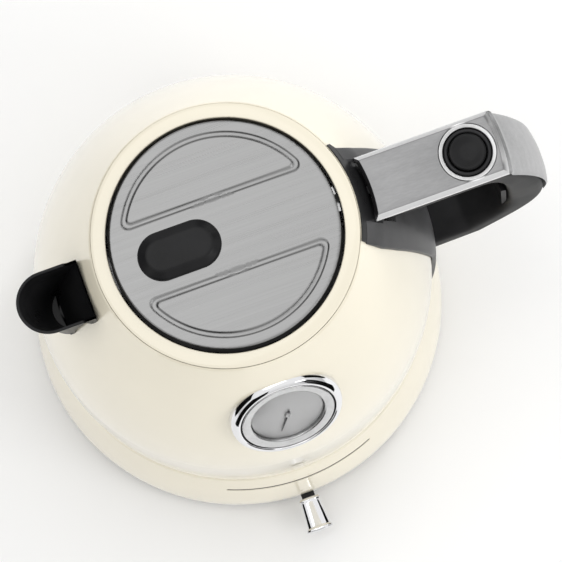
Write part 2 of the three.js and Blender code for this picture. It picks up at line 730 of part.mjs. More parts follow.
function gripPad() {
  const wall = END_X - SKIN_THICK - GRIP_THICK;
  const shape = new THREE.Shape();
  shape.moveTo(wall - GAP, END_Z + 18);
  shape.lineTo(wall - GAP, END_Z - 14);
  shape.lineTo(wall - 3, END_Z - 16);
  shape.lineTo(wall - 3, END_Z + 20);
  const loop = sideways(loopOuter(0), 2 * HANDLE_W).subtract(sideways(loopInner(), 2 * HANDLE_W));
  return sideways(shape, HANDLE_W - 9).subtract(loop);
}

function buttonDish() {
  const low = PLATE_LOW - 1.5;
  return turned([
    [BUTTON_RING_R + GAP, low], [DISH_R - 1, low], [DISH_R, PLATE_TOP], [DISH_R - 1, PLATE_TOP + 0.3],
    [BUTTON_RING_R + GAP, PLATE_TOP - 1.4],
  ], 28).subtract(block(-30, 30, -30, 30, low - 5, ARM_TOP + GAP)).translate([BUTTON_X, 0, 0]);
}

function buttonRing() {
  const low = ARM_TOP + GAP;
  return turned([
    [BUTTON_R + SLIDE_FIT, low], [BUTTON_RING_R, low], [BUTTON_RING_R, PLATE_TOP - 0.6],
    [BUTTON_RING_R - 0.9, PLATE_TOP + 0.4], [BUTTON_R + SLIDE_FIT, PLATE_TOP - 0.3],
  ], 28).translate([BUTTON_X, 0, 0]);
}

const ROD_LOW = ARM_TOP - 4;
const ROD_END = BUTTON_X - SPRING_R - WIRE_R - BUTTON_TRAVEL - SLIDE_FIT;

// A bar that leans at 45 degrees: as it goes down it carries the rod towards the button.
function cam(grow) {
  const top = BUTTON_X - 8;
  const drop = CAP_LOW + 0.2 - (ROD_LOW - 0.8);
  const bar = outline([
    [top - grow, CAP_LOW + 0.2], [top + 2 + grow, CAP_LOW + 0.2],
    [top + 2 - drop + grow, CAP_LOW + 0.2 - drop], [top - drop - grow, CAP_LOW + 0.2 - drop],
  ]);
  return sideways(bar, 3 + 2 * grow);
}

// A cap with a dished top, on a stem that the spring goes round, with the cam beside it.
function releaseButton() {
  const cap = turned([
    [0, BUTTON_LOW + 5], [STEM_R, BUTTON_LOW + 5], [STEM_R, CAP_LOW], [BUTTON_R, CAP_LOW],
    [BUTTON_R, PLATE_TOP + 1.2], [BUTTON_R - 1.2, PLATE_TOP + 1.8], [5, PLATE_TOP + 1.1],
    [0, PLATE_TOP + 0.8],
  ], 24);
  return cap.translate([BUTTON_X, 0, 0]).add(cam(0));
}

class Helix extends THREE.Curve {
  constructor(radius, low, high, turns) {
    super();
    Object.assign(this, { radius, low, high, turns });
  }
  getPoint(t, target = new THREE.Vector3()) {
    const angle = 2 * Math.PI * this.turns * t;
    const z = this.low + (this.high - this.low) * t;
    return target.set(this.radius * Math.cos(angle), this.radius * Math.sin(angle), z);
  }
}

function buttonSpring() {
  const wire = new THREE.Shape();
  wire.absarc(0, 0, WIRE_R, 0, 2 * Math.PI, false);
  const path = new Helix(SPRING_R, BUTTON_LOW + WIRE_R + GAP, CAP_LOW - WIRE_R - GAP, 4);
  const options = { steps: 40, bevelEnabled: false, extrudePath: path, curveSegments: 3 };
  return solid(new THREE.ExtrudeGeometry(wire, options)).translate([BUTTON_X, 0, 0]);
}

const CATCH_X = NECK_R + NECK_WALL + SLIDE_FIT;
const CATCH_TOP = LID_TOP - CATCH_DROP;

// Room for the rod's way through the shell and the neck, over its whole travel.
function rodRoom() {
  const half = CATCH_HALF + SLIDE_FIT;
  const over = ROD_LOW + ROD_HIGH + SLIDE_FIT;
  const along = block(CATCH_X, BUTTON_X, -half, half, ROD_LOW - SLIDE_FIT, over);
  const through = block(
    NECK_R - 5, CATCH_X + 1, -half, half, CATCH_TOP - CATCH_HIGH - SLIDE_FIT, CATCH_TOP + SLIDE_FIT,
  );
  return [along, through];
}

// The rod between the button and the lid: it ends in a riser with a tongue, whose cross bar lies behind
// the liner's ledge on both sides of the hinge.
function releaseRod() {
  const half = CATCH_HALF;
  const rod = block(CATCH_X, ROD_END - 6, -half, half, ROD_LOW, ROD_LOW + ROD_HIGH);
  const eye = block(ROD_END - 10, ROD_END, -4, 4, ROD_LOW, ROD_LOW + ROD_HIGH);
  const riser = block(CATCH_X, CATCH_X + 2.2, -half, half, ROD_LOW, CATCH_TOP);
  const under = CATCH_TOP - CATCH_HIGH;
  const start = LID_LINER_R - 1;
  const tongue = block(start, CATCH_X + 1, -half, half, under, CATCH_TOP);
  const bar = block(start, start + CATCH_BAR, -CATCH_BAR_HALF, CATCH_BAR_HALF, under, CATCH_TOP);
  return rod.add(eye).add(riser).add(tongue).add(bar).subtract(cam(SLIDE_FIT));
}

// ---------------------------------------------------------------- lid
const HINGE_Z = LID_TOP - HINGE_DROP;

function alongY(radius, y0, y1, count = SMALL_STEPS) {
  const rod = new THREE.CylinderGeometry(radius, radius, y1 - y0, count);
  return solid(rod.translate(0, (y0 + y1) / 2, 0)).translate([HINGE_X, 0, HINGE_Z]);
}

function lidPlate() {
  const low = LID_TOP - LID_SKIN;
  return turned([
    [0, low + 0.3], [40, low + 0.1], [LID_R - 0.6, low], [LID_R, low + 0.4],
    [LID_R - 0.3, LID_TOP - 0.1], [LID_R - 1.2, LID_TOP], [40, LID_TOP + 0.75 * LID_CROWN],
    [0, LID_TOP + LID_CROWN],
  ]);
}

function hingeRoom(grow) {
  const reach = KNUCKLE_R + grow;
  return block(
    HINGE_X - reach, LID_R + 5, -KNUCKLE_HALF - grow, KNUCKLE_HALF + grow,
    HINGE_Z - 20, HINGE_Z + reach,
  );
}

function lidLiner() {
  const top = LID_TOP - LID_SKIN - GAP;
  const low = top - LID_LINER_DEEP;
  const body = turned([
    [0, low], [LEDGE_R - 3, low], [LEDGE_R, low + 1.5], [LEDGE_R, CATCH_TOP + CATCH_FIT],
    [LID_LINER_R - 1, CATCH_TOP + CATCH_FIT], [LID_LINER_R - 1, low + 6], [LID_LINER_R, low + 6],
    [LID_LINER_R, top], [0, top],
  ]);
  const pinHole = alongY(PIN_R + PIN_FIT, -PIN_LONG / 2 - 1, PIN_LONG / 2 + 1);
  return body.subtract(hingeRoom(SLIDE_FIT)).subtract(pinHole);
}

function lidGasket() {
  const low = LID_TOP - LID_SKIN - LID_LINER_DEEP + 3.4;
  const inner = LID_LINER_R - 1 + GAP;
  return turned([
    [inner, low], [inner + 1.4, low], [NECK_R - 0.8, low + 1], [inner + 1.4, low + 2], [inner, low + 2],
  ]).subtract(block(HINGE_X - 3, NECK_R, -PIN_LONG / 2 - 1, PIN_LONG / 2 + 1, low - 1, LID_TOP));
}

// The black press pad: a stadium with a chamfered edge.
function stadium(long, wide) {
  const r = wide / 2;
  const reach = long / 2 - r;
  const shape = new THREE.Shape();
  shape.absarc(reach, 0, r, -Math.PI / 2, Math.PI / 2, false);
  shape.absarc(-reach, 0, r, Math.PI / 2, (3 * Math.PI) / 2, false);
  return shape;
}

function pressPad() {
  const options = {
    depth: PAD_EDGE, bevelEnabled: true, bevelThickness: PAD_STEP, bevelSize: PAD_CHAMFER,
    bevelSegments: 1, curveSegments: 10,
  };
  const shape = stadium(PAD_LONG - 2 * PAD_CHAMFER, PAD_WIDE - 2 * PAD_CHAMFER);
  const low = LID_TOP + LID_CROWN + GAP + PAD_STEP;
  return solid(new THREE.ExtrudeGeometry(shape, options).translate(PAD_X, 0, low));
}

// The bracket on the neck that holds the hinge pin between the lid's two knuckles.
function hingeBracket() {
  const half = KNUCKLE_HALF - SLIDE_FIT;
  const top = CATCH_TOP - CATCH_HIGH - SLIDE_FIT;
  const low = top - BRACKET_FOOT;
  const knuckle = alongY(KNUCKLE_R, -half, half);
  const web = block(HINGE_X - KNUCKLE_R, HINGE_X + KNUCKLE_R, -half, half, low, HINGE_Z);
  const foot = block(HINGE_X, NECK_R, -half, half, low, top);
  const bore = alongY(PIN_R + PIN_FIT, -PIN_LONG, PIN_LONG);
  const inside = turned([[0, 0], [NECK_R - GAP, 0], [NECK_R - GAP, LID_TOP], [0, LID_TOP]]);
  return knuckle.add(web).add(foot).subtract(bore).intersect(inside);
}

// ---------------------------------------------------------------- assembly
add("base_skirt", baseSkirt(), CREAM);
add("scale_line", frontSector(
  skirtRadius(SCALE_Z) - SCALE_DEEP, skirtRadius(SCALE_Z) + 0.1, SCALE_ANGLE / 2,
  SCALE_Z - SCALE_HIGH / 2, SCALE_Z + SCALE_HIGH / 2,
), BLACK);
add("base_bottom", baseBottom(), BLACK);
add("base_deck", baseDeck(), BLACK);
add("base_connector", baseConnector(), BLACK);
add("cord_gland", cordGland(), SOFT_BLACK);
add("control_board", controlBoard(), BOARD);
for (let i = 0; i < FEET; i++) {
  const angle = (2 * Math.PI * (i + 0.5)) / FEET;
  const top = BOTTOM_LOW - GAP;
  const foot = turned([[0, 0], [FOOT_R - 0.8, 0], [FOOT_R, 0.8], [FOOT_R, top], [0, top]], 20);
  const place = [Math.cos(angle) * FOOT_RING_R, Math.sin(angle) * FOOT_RING_R, 0];
  add(`foot_${i + 1}`, foot.translate(place), SOFT_BLACK);
}
screwPlaces().forEach(([x, y], i) => {
  const screw = turned([
    [0, BOTTOM_LOW - 1.6], [2.6, BOTTOM_LOW - 1.6], [2.6, BOTTOM_LOW - GAP], [1.5, BOTTOM_LOW - GAP],
    [1.5, BOTTOM_TOP + 4], [0, BOTTOM_TOP + 5],
  ], 12);
  add(`base_screw_${i + 1}`, screw.translate([x, y, 0]), STEEL);
});
add("lever_arm", leverArm(), BLACK);
add("lever_neck", leverNeck(), BLACK);
add("lever_knob", leverKnob(), CHROME);

add("outer_shell", outerShell(), CREAM);
add("neck_ring", neckRing(), CREAM);
add("inner_vessel", innerVessel(), STEEL);
add("heater_plate", heaterPlate(), STEEL);
add("jug_connector", jugConnector(), BLACK);
add("jug_base_cover", jugBaseCover(), BLACK);
add("spout", spout(), BLACK);
add("limescale_filter", limescaleFilter(), STEEL);

add("gauge_bezel", gaugeBezel(), CHROME);
add("gauge_housing", gaugeHousing(), BLACK);
add("gauge_ring", gaugeRing(), STEEL);
add("gauge_dial", gaugeDial(), WHITE);
add("gauge_needle", gaugeNeedle(), BLACK);
add("gauge_lens", gaugeLens(), GLASS);

add("handle_frame", handleFrame(), SOFT_BLACK);
add("handle_plate", handlePlate(), ALUMINIUM);
add("handle_skin", handleSkin(), ALUMINIUM);
add("handle_root", handleRoot(), BLACK);
add("saddle", saddle(), BLACK);
add("grip_pad", gripPad(), SOFT_BLACK);
add("button_dish", buttonDish(), STEEL);
add("button_ring", buttonRing(), CHROME);
add("release_button", releaseButton(), BLACK);
add("button_spring", buttonSpring(), STEEL);
add("release_rod", releaseRod(), STEEL);

add("lid_plate", lidPlate(), STEEL);
add("lid_liner", lidLiner(), BLACK);
add("lid_gasket", lidGasket(), SOFT_BLACK);
add("press_pad", pressPad(), BLACK);
add("hinge_pin", alongY(PIN_R, -PIN_LONG / 2, PIN_LONG / 2), STEEL);
add("hinge_bracket", hingeBracket(), STEEL);

export default group;
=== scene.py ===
import json
import math

import bmesh
import bpy
import numpy as np
from bpy.props import FloatProperty, FloatVectorProperty, IntProperty, PointerProperty
from mathutils import Matrix, Vector


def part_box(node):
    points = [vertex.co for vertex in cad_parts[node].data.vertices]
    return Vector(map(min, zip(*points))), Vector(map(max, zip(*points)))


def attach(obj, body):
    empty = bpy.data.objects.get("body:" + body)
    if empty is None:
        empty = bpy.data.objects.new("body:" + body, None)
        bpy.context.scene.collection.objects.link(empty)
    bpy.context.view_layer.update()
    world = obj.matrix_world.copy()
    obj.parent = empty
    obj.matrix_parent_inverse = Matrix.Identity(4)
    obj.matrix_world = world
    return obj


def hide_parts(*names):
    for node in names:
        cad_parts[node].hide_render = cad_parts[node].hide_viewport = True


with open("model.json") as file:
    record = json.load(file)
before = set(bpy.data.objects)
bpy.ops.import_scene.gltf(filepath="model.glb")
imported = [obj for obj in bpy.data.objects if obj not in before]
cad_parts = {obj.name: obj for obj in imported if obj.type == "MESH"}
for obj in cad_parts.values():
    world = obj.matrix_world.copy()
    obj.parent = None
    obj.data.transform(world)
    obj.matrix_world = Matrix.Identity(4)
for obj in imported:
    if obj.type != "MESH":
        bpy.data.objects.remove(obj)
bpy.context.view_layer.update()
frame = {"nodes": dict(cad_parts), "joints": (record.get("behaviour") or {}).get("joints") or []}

bl_info = {
    "name": "Electric Kettle Looks",
    "version": (1, 0, 0),
    "blender": (4, 5, 0),
    "location": "View3D > Sidebar > Kettle",
    "description": "Builds the finished surfaces of an electric kettle round its packed model",
    "category": "Add Mesh",
}

MM = 0.001
TAU = 2 * math.pi


def low(node):
    return np.array(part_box(node)[0]) / MM


def high(node):
    return np.array(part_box(node)[1]) / MM


def joint(name):
    return next(j for j in frame["joints"] if j["name"] == name)


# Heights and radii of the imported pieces, in millimetres.
LID_RISE = 0.8
LID_TOP = high("lid_plate")[2] - LID_RISE
LID_R = high("lid_plate")[0]
SHELL_LOW = low("outer_shell")[2]
SHELL_TOP = high("outer_shell")[2]
BODY_R = high("outer_shell")[0]
COLLAR_R = high("neck_ring")[0]
COLLAR_TOP = high("neck_ring")[2]
NECK_LOW = low("neck_ring")[2]
SKIRT_R = high("base_skirt")[0]
SKIRT_LOW = low("base_skirt")[2]
SEAM_Z = high("base_skirt")[2]
SEAM_R = 99.4
NEEDLE_LONG = 13.0
PLATE_TOP = high("handle_plate")[2]
PLATE_LOW = low("handle_plate")[2]
PLATE_END = high("handle_plate")[0]
HANDLE_HALF = high("handle_plate")[1]
END_X = high("handle_skin")[0]
SKIN_LOW = low("handle_skin")[2]
PLATE_FRONT_R = 77.5
PLATE_CHAMFER = 2.5
ARM_LOW = 186.65  # underside of the handle's upper arm
END_Z = 122.0  # height of the handle's furthest point
END_BULGE = 3.0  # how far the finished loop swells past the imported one
ROD_TOP = 198.85
BUTTON_X = (low("release_button")[0] + high("button_ring")[0]) / 2
LEVER_Z = joint("lever_swing")["pos_m"][2] / MM


class KettleForm(bpy.types.PropertyGroup):
    """Proportions of the jug and its base."""

    dome_power: FloatProperty(name="Dome power", description="How round the dome is", default=1.6)
    widest: FloatProperty(name="Widest height", description="Height of the widest part", default=0.11,
                          unit="LENGTH")
    neck_bore: FloatProperty(name="Neck bore", description="Radius that the lid drops into",
                             default=0.0613, unit="LENGTH")
    skirt_widest: FloatProperty(name="Skirt height", description="Height of the widest part of the base",
                                default=0.019, unit="LENGTH")
    skirt_foot: FloatProperty(name="Skirt foot", description="Radius of the base at its foot",
                              default=0.1035, unit="LENGTH")
    wall: FloatProperty(name="Wall", description="Thickness of the enamelled walls", default=0.0015,
                        unit="LENGTH")
    spout_rim: FloatProperty(name="Spout rim", description="Thickness of the spout's rim", default=0.0016,
                             unit="LENGTH")
    facets: IntProperty(name="Facets", description="Faces round a large turned piece", default=256)


class LidForm(bpy.types.PropertyGroup):
    """The lid's beads and its press pad."""

    bead_half: FloatProperty(name="Bead offset", description="From the middle to a bead's straight side",
                             default=0.0203, unit="LENGTH")
    bead_radius: FloatProperty(name="Bead radius", description="Radius of a bead's round side",
                               default=0.0522, unit="LENGTH")
    bead_width: FloatProperty(name="Bead width", description="Width of a pressed bead", default=0.0036,
                              unit="LENGTH")
    bead_depth: FloatProperty(name="Bead depth", description="Depth of a pressed bead", default=0.0009,
                              unit="LENGTH")
    bead_corner: FloatProperty(name="Bead corner", description="Radius of a bead's corners",
                               default=0.0045, unit="LENGTH")


class Finishes(bpy.types.PropertyGroup):
    """Colours and gloss of the finishes."""

    enamel: FloatVectorProperty(name="Enamel", description="Colour of the enamel", subtype="COLOR",
                                size=4, default=(0.86, 0.80, 0.645, 1.0), min=0, max=1)
    steel: FloatVectorProperty(name="Steel", description="Colour of the brushed steel", subtype="COLOR",
                               size=4, default=(0.29, 0.29, 0.289, 1.0), min=0, max=1)
    aluminium: FloatVectorProperty(name="Aluminium", description="Colour of the satin aluminium",
                                   subtype="COLOR", size=4, default=(0.27, 0.27, 0.272, 1.0), min=0, max=1)
    black: FloatVectorProperty(name="Black", description="Colour of the moulded plastic",
                               subtype="COLOR", size=4, default=(0.009, 0.009, 0.0095, 1.0), min=0, max=1)
    grip: FloatVectorProperty(name="Grip", description="Colour of the soft grip", subtype="COLOR",
                              size=4, default=(0.014, 0.014, 0.0145, 1.0), min=0, max=1)


class StudioSetup(bpy.types.PropertyGroup):
    """Camera and lights."""

    distance: FloatProperty(name="Distance", description="From the lens to the kettle", default=6.0,
                            unit="LENGTH")
    focal: FloatProperty(name="Focal length", description="Lens in millimetres", default=753.3)
    key: FloatProperty(name="Key light", description="Power of the large softbox", default=5.0)
    fill: FloatProperty(name="Fill light", description="Power of the fill", default=8.0)
    sky: FloatProperty(name="Sky", description="Strength of the room's light", default=0.98)


# ---------------------------------------------------------------- surfaces


def rounded(points, radius, steps=5, closed=True):
    """Outline with round corners: each corner becomes the quadratic curve (1-t)^2 A + 2t(1-t) P + t^2 B
    between the two points A and B that lie a radius before and after it."""
    p = np.asarray(points, float)
    before = np.roll(p, 1, axis=0)
    after = np.roll(p, -1, axis=0)
    back = np.linalg.norm(before - p, axis=1)
    ahead = np.linalg.norm(after - p, axis=1)
    cut = np.minimum(np.broadcast_to(radius, len(p)), np.minimum(back, ahead) * 0.48)[:, None]
    start = p + (before - p) / back[:, None] * cut
    end = p + (after - p) / ahead[:, None] * cut
    t = np.linspace(0, 1, steps)[None, :, None]
    curve = (1 - t) ** 2 * start[:, None] + 2 * t * (1 - t) * p[:, None] + t**2 * end[:, None]
    if closed:
        return curve.reshape(-1, 2)
    return np.vstack([p[:1], curve[1:-1].reshape(-1, 2), p[-1:]])


def resampled(points, count):
    """The polyline's points at equal steps of its own length."""
    p = np.asarray(points, float)
    run = np.concatenate([[0], np.cumsum(np.linalg.norm(np.diff(p, axis=0), axis=1))])
    t = np.linspace(0, run[-1], count)
    return np.stack([np.interp(t, run, p[:, k]) for k in range(p.shape[1])], axis=1)


def bezier(a, b, c, d, count=24):
    """Cubic curve from a to d with handles b and c."""
    t = np.linspace(0, 1, count)[:, None]
    a, b, c, d = (np.asarray(v, float) for v in (a, b, c, d))
    return (1 - t) ** 3 * a + 3 * t * (1 - t) ** 2 * b + 3 * t**2 * (1 - t) * c + t**3 * d


def revolved(profile, count=96):
    """A profile of (radius, height) turned about Z: x = r cos a, y = r sin a, z = height."""
    p = np.asarray(profile, float)
    a = np.linspace(0, TAU, count, endpoint=False)
    x = p[:, :1] * np.cos(a)
    y = p[:, :1] * np.sin(a)
    z = np.repeat(p[:, 1:2], count, axis=1)
    return np.stack([x, y, z], axis=2)


def parallel(line, distance):
    """The line moved square to itself, to its left, by a distance."""
    p = np.asarray(line, float)
    d = np.gradient(p, axis=0)
    d /= np.linalg.norm(d, axis=1, keepdims=True)
    return p + distance * np.stack([-d[:, 1], d[:, 0]], axis=1)


def placed(grid, matrix):
    """The grid's points turned and moved by a 4x4 matrix."""
    m = np.array(matrix)
    return grid @ m[:3, :3].T + m[:3, 3]


def quads(rows, columns, start, closed_rows, closed_columns):
    """Indices of the four corners of each cell of a grid."""
    i = np.arange(rows if closed_rows else rows - 1)
    j = np.arange(columns if closed_columns else columns - 1)
    i, j = np.meshgrid(i, j, indexing="ij")
    right = (j + 1) % columns
    below = (i + 1) % rows
    cell = [i * columns + j, below * columns + j, below * columns + right, i * columns + right]
    return np.stack(cell, axis=-1).reshape(-1, 4) + start


def make_mesh(name, grids, smooth_angle=38.0):
    """A mesh of one or more (points, closed_rows, closed_columns) grids in millimetres."""
    points, faces, start = [], [], 0
    for grid, closed_rows, closed_columns in grids:
        rows, columns = grid.shape[:2]
        points.append(grid.reshape(-1, 3) * MM)
        faces.append(quads(rows, columns, start, closed_rows, closed_columns))
        start += rows * columns
    mesh = bpy.data.meshes.new(name)
    mesh.from_pydata(np.vstack(points).tolist(), [], np.vstack(faces).tolist())
    edit = bmesh.new()
    edit.from_mesh(mesh)
    bmesh.ops.remove_doubles(edit, verts=edit.verts, dist=2e-6)
    bmesh.ops.dissolve_degenerate(edit, edges=edit.edges, dist=1e-7)
    bmesh.ops.recalc_face_normals(edit, faces=edit.faces)
    edit.to_mesh(mesh)
    edit.free()
    mesh.polygons.foreach_set("use_smooth", np.ones(len(mesh.polygons), bool))
    mesh.set_sharp_from_angle(angle=math.radians(smooth_angle))
    mesh.update()
    return mesh


def piece(name, grids, body, look, nodes=(), smooth_angle=38.0):
    """Puts a finished piece on its body, in its finish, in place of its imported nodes."""
    made = bpy.data.objects.new(name, make_mesh(name, grids, smooth_angle))
    bpy.context.scene.collection.objects.link(made)
    made.data.materials.append(look)
    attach(made, body)
    if nodes:
        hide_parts(*nodes)
    return made


def ring(profile, count=96, matrix=None):
    """A closed profile turned into a ring, as a grid for make_mesh."""
    grid = revolved(profile, count)
    return (grid if matrix is None else placed(grid, matrix), True, True)


def disc(profile, count=96, matrix=None):
    """A profile that starts and ends on the axis, turned, as a grid for make_mesh."""
    grid = revolved(profile, count)
    return (grid if matrix is None else placed(grid, matrix), False, True)


def capped(grid):
    """Closes both ends of a tube-like grid with a point in the middle of its first and last row."""
    first = np.broadcast_to(grid[0].mean(axis=0), grid[0].shape)[None]
    last = np.broadcast_to(grid[-1].mean(axis=0), grid[-1].shape)[None]
    return (np.concatenate([first, grid, last]), False, True)


def superellipse(count, power):
    """Points of a rounded square of half size 1: cos and sin, each raised to a power with its sign."""
    a = np.linspace(0, TAU, count, endpoint=False)
    c, s = np.cos(a), np.sin(a)
    return np.sign(c) * np.abs(c) ** power, np.sign(s) * np.abs(s) ** power


def translation(x, y=0.0, z=0.0):
    return Matrix.Translation(Vector((x, y, z)))


# ---------------------------------------------------------------- finishes


class Nodes:
    """A material's node tree with short names for what the finishes use."""

    def __init__(self, name):
        self.material = bpy.data.materials.new(name)
        self.material.use_nodes = True
        self.tree = self.material.node_tree
        self.shader = self.tree.nodes["Principled BSDF"]

    def set(self, **values):
        for key, value in values.items():
            self.shader.inputs[key.replace("_", " ")].default_value = value

    def add(self, kind, **settings):
        node = self.tree.nodes.new(kind)
        for key, value in settings.items():
            setattr(node, key, value)
        return node

    def link(self, a, b):
        self.tree.links.new(a, b)

    def coordinates(self, scale=(1, 1, 1), location=(0, 0, 0), rotation=(0, 0, 0)):
        """Object coordinates, moved, turned and scaled."""
        source = self.add("ShaderNodeTexCoord")
        mapping = self.add("ShaderNodeMapping")
        mapping.inputs["Location"].default_value = location
        mapping.inputs["Rotation"].default_value = rotation
        mapping.inputs["Scale"].default_value = scale
        self.link(source.outputs["Object"], mapping.inputs["Vector"])
        return mapping.outputs["Vector"]

    def noise(self, vector, scale=1.0, detail=2.0, roughness=0.5):
        node = self.add("ShaderNodeTexNoise")
        node.inputs["Scale"].default_value = scale
        node.inputs["Detail"].default_value = detail
        node.inputs["Roughness"].default_value = roughness
        self.link(vector, node.inputs["Vector"])
        return node.outputs["Fac"]

    def ramp(self, value, stops):
        node = self.add("ShaderNodeValToRGB")
        elements = node.color_ramp.elements
        for element, (position, colour) in zip(elements, stops[:2]):
            element.position = position
            element.color = colour
        for position, colour in stops[2:]:
            elements.new(position).color = colour
        self.link(value, node.inputs["Fac"])
        return node.outputs["Color"]

    def range(self, value, to_min, to_max, from_min=0.3, from_max=0.7):
        node = self.add("ShaderNodeMapRange")
        for key, number in (("From Min", from_min), ("From Max", from_max), ("To Min", to_min),
                            ("To Max", to_max)):
            node.inputs[key].default_value = number
        self.link(value, node.inputs["Value"])
        return node.outputs["Result"]

    def bump(self, height, strength, distance):
        node = self.add("ShaderNodeBump")
        node.inputs["Strength"].default_value = strength
        node.inputs["Distance"].default_value = distance
        self.link(height, node.inputs["Height"])
        self.link(node.outputs["Normal"], self.shader.inputs["Normal"])
        return node


def shade(colour, factor):
    return tuple(min(1.0, c * factor) for c in colour[:3]) + (1.0,)


def enamel_finish(colour, name="enamel"):
    """Glossy enamel: a faint drift of colour, a slight orange peel and a clear coat."""
    n = Nodes(name)
    n.set(Roughness=0.3, Coat_Weight=1.0, Coat_Roughness=0.04, Coat_IOR=1.55, IOR=1.5)
    drift = n.noise(n.coordinates(), scale=22, detail=3)
    tone = n.ramp(drift, [(0.3, shade(colour, 0.985)), (0.7, shade(colour, 1.012))])
    n.link(tone, n.shader.inputs["Base Color"])
    peel = n.noise(n.coordinates(), scale=420, detail=2)
    n.bump(peel, 0.05, 0.0002)
    return n.material


def brushed_finish(name, colour, scale, base_roughness=0.3, metallic=1.0, strength=0.25, spread=0.07,
                   chamfer_highlight=None):
    """Metal with fine straight brush marks: noise stretched along the direction of the brush. The chamfer
    colour, if one is given, replaces the metal's where the mesh's chamfer attribute is 1; it is a bright
    polished bevel with a painted highlight laid into its colour."""
    n = Nodes(name)
    n.set(Metallic=metallic)
    fine = n.noise(n.coordinates(scale=scale), detail=3, roughness=0.65)
    broad = n.noise(n.coordinates(scale=tuple(s * 0.22 for s in scale)), detail=2)
    mixed = n.add("ShaderNodeMath", operation="ADD")
    n.link(fine, mixed.inputs[0])
    n.link(broad, mixed.inputs[1])
    both = n.range(mixed.outputs[0], 0.0, 1.0, 0.6, 1.4)
    tone = n.ramp(both, [(0.0, shade(colour, 0.84)), (1.0, shade(colour, 1.13))])
    # Painted highlight: on the chamfer the bright bevel colour replaces the metal's.
    if chamfer_highlight:
        where = n.add("ShaderNodeAttribute", attribute_name="chamfer_highlight")
        blend = n.add("ShaderNodeMixRGB")
        n.link(where.outputs["Fac"], blend.inputs["Fac"])
        n.link(tone, blend.inputs["Color1"])
        blend.inputs["Color2"].default_value = chamfer_highlight
        n.link(blend.outputs["Color"], n.shader.inputs["Base Color"])
    else:
        n.link(tone, n.shader.inputs["Base Color"])
    n.link(n.range(both, base_roughness - spread, base_roughness + spread, 0, 1),
           n.shader.inputs["Roughness"])
    n.bump(both, strength, 0.00006)
    return n.material


def chrome_finish():
    """Polished chrome with faint wiping marks in its gloss."""
    n = Nodes("chrome")
    n.set(Metallic=1.0, Base_Color=(0.83, 0.83, 0.84, 1))
    wipe = n.noise(n.coordinates(scale=(60, 60, 400)), detail=3)
    n.link(n.range(wipe, 0.03, 0.09), n.shader.inputs["Roughness"])
    n.bump(wipe, 0.02, 0.0001)
    return n.material


def moulded_finish(name, colour, roughness, grain=1500, strength=0.25, lift=1.7, gloss=0.18):
    """Moulded plastic with a fine spark-eroded grain and a slight unevenness of gloss."""
    n = Nodes(name)
    n.set(IOR=1.48, Specular_IOR_Level=gloss)
    grain_noise = n.noise(n.coordinates(), scale=grain, detail=2)
    patch = n.noise(n.coordinates(), scale=45, detail=3)
    tone = n.ramp(patch, [(0.3, shade(colour, 0.85)), (0.7, shade(colour, lift))])
    n.link(tone, n.shader.inputs["Base Color"])
    n.link(n.range(patch, roughness - 0.05, roughness + 0.06), n.shader.inputs["Roughness"])
    n.bump(grain_noise, strength, 0.00006)
    return n.material


def board_finish():
    """Green circuit board with copper tracks under the lacquer."""
    n = Nodes("circuit_board")
    n.set(Roughness=0.35)
    brick = n.add("ShaderNodeTexBrick")
    brick.inputs["Scale"].default_value = 160
    brick.inputs["Mortar Size"].default_value = 0.03
    brick.inputs["Color1"].default_value = (0.02, 0.13, 0.05, 1)
    brick.inputs["Color2"].default_value = (0.03, 0.18, 0.07, 1)
    brick.inputs["Mortar"].default_value = (0.20, 0.28, 0.10, 1)
    n.link(n.coordinates(), brick.inputs["Vector"])
    n.link(brick.outputs["Color"], n.shader.inputs["Base Color"])
    return n.material


def lens_finish():
    """Clear glass with a trace of dust in its gloss."""
    n = Nodes("lens")
    n.set(Base_Color=(1, 1, 1, 1), Transmission_Weight=1.0, IOR=1.12, Alpha=0.22)
    dust = n.noise(n.coordinates(), scale=300, detail=2)
    n.link(n.range(dust, 0.0, 0.03), n.shader.inputs["Roughness"])
    return n.material


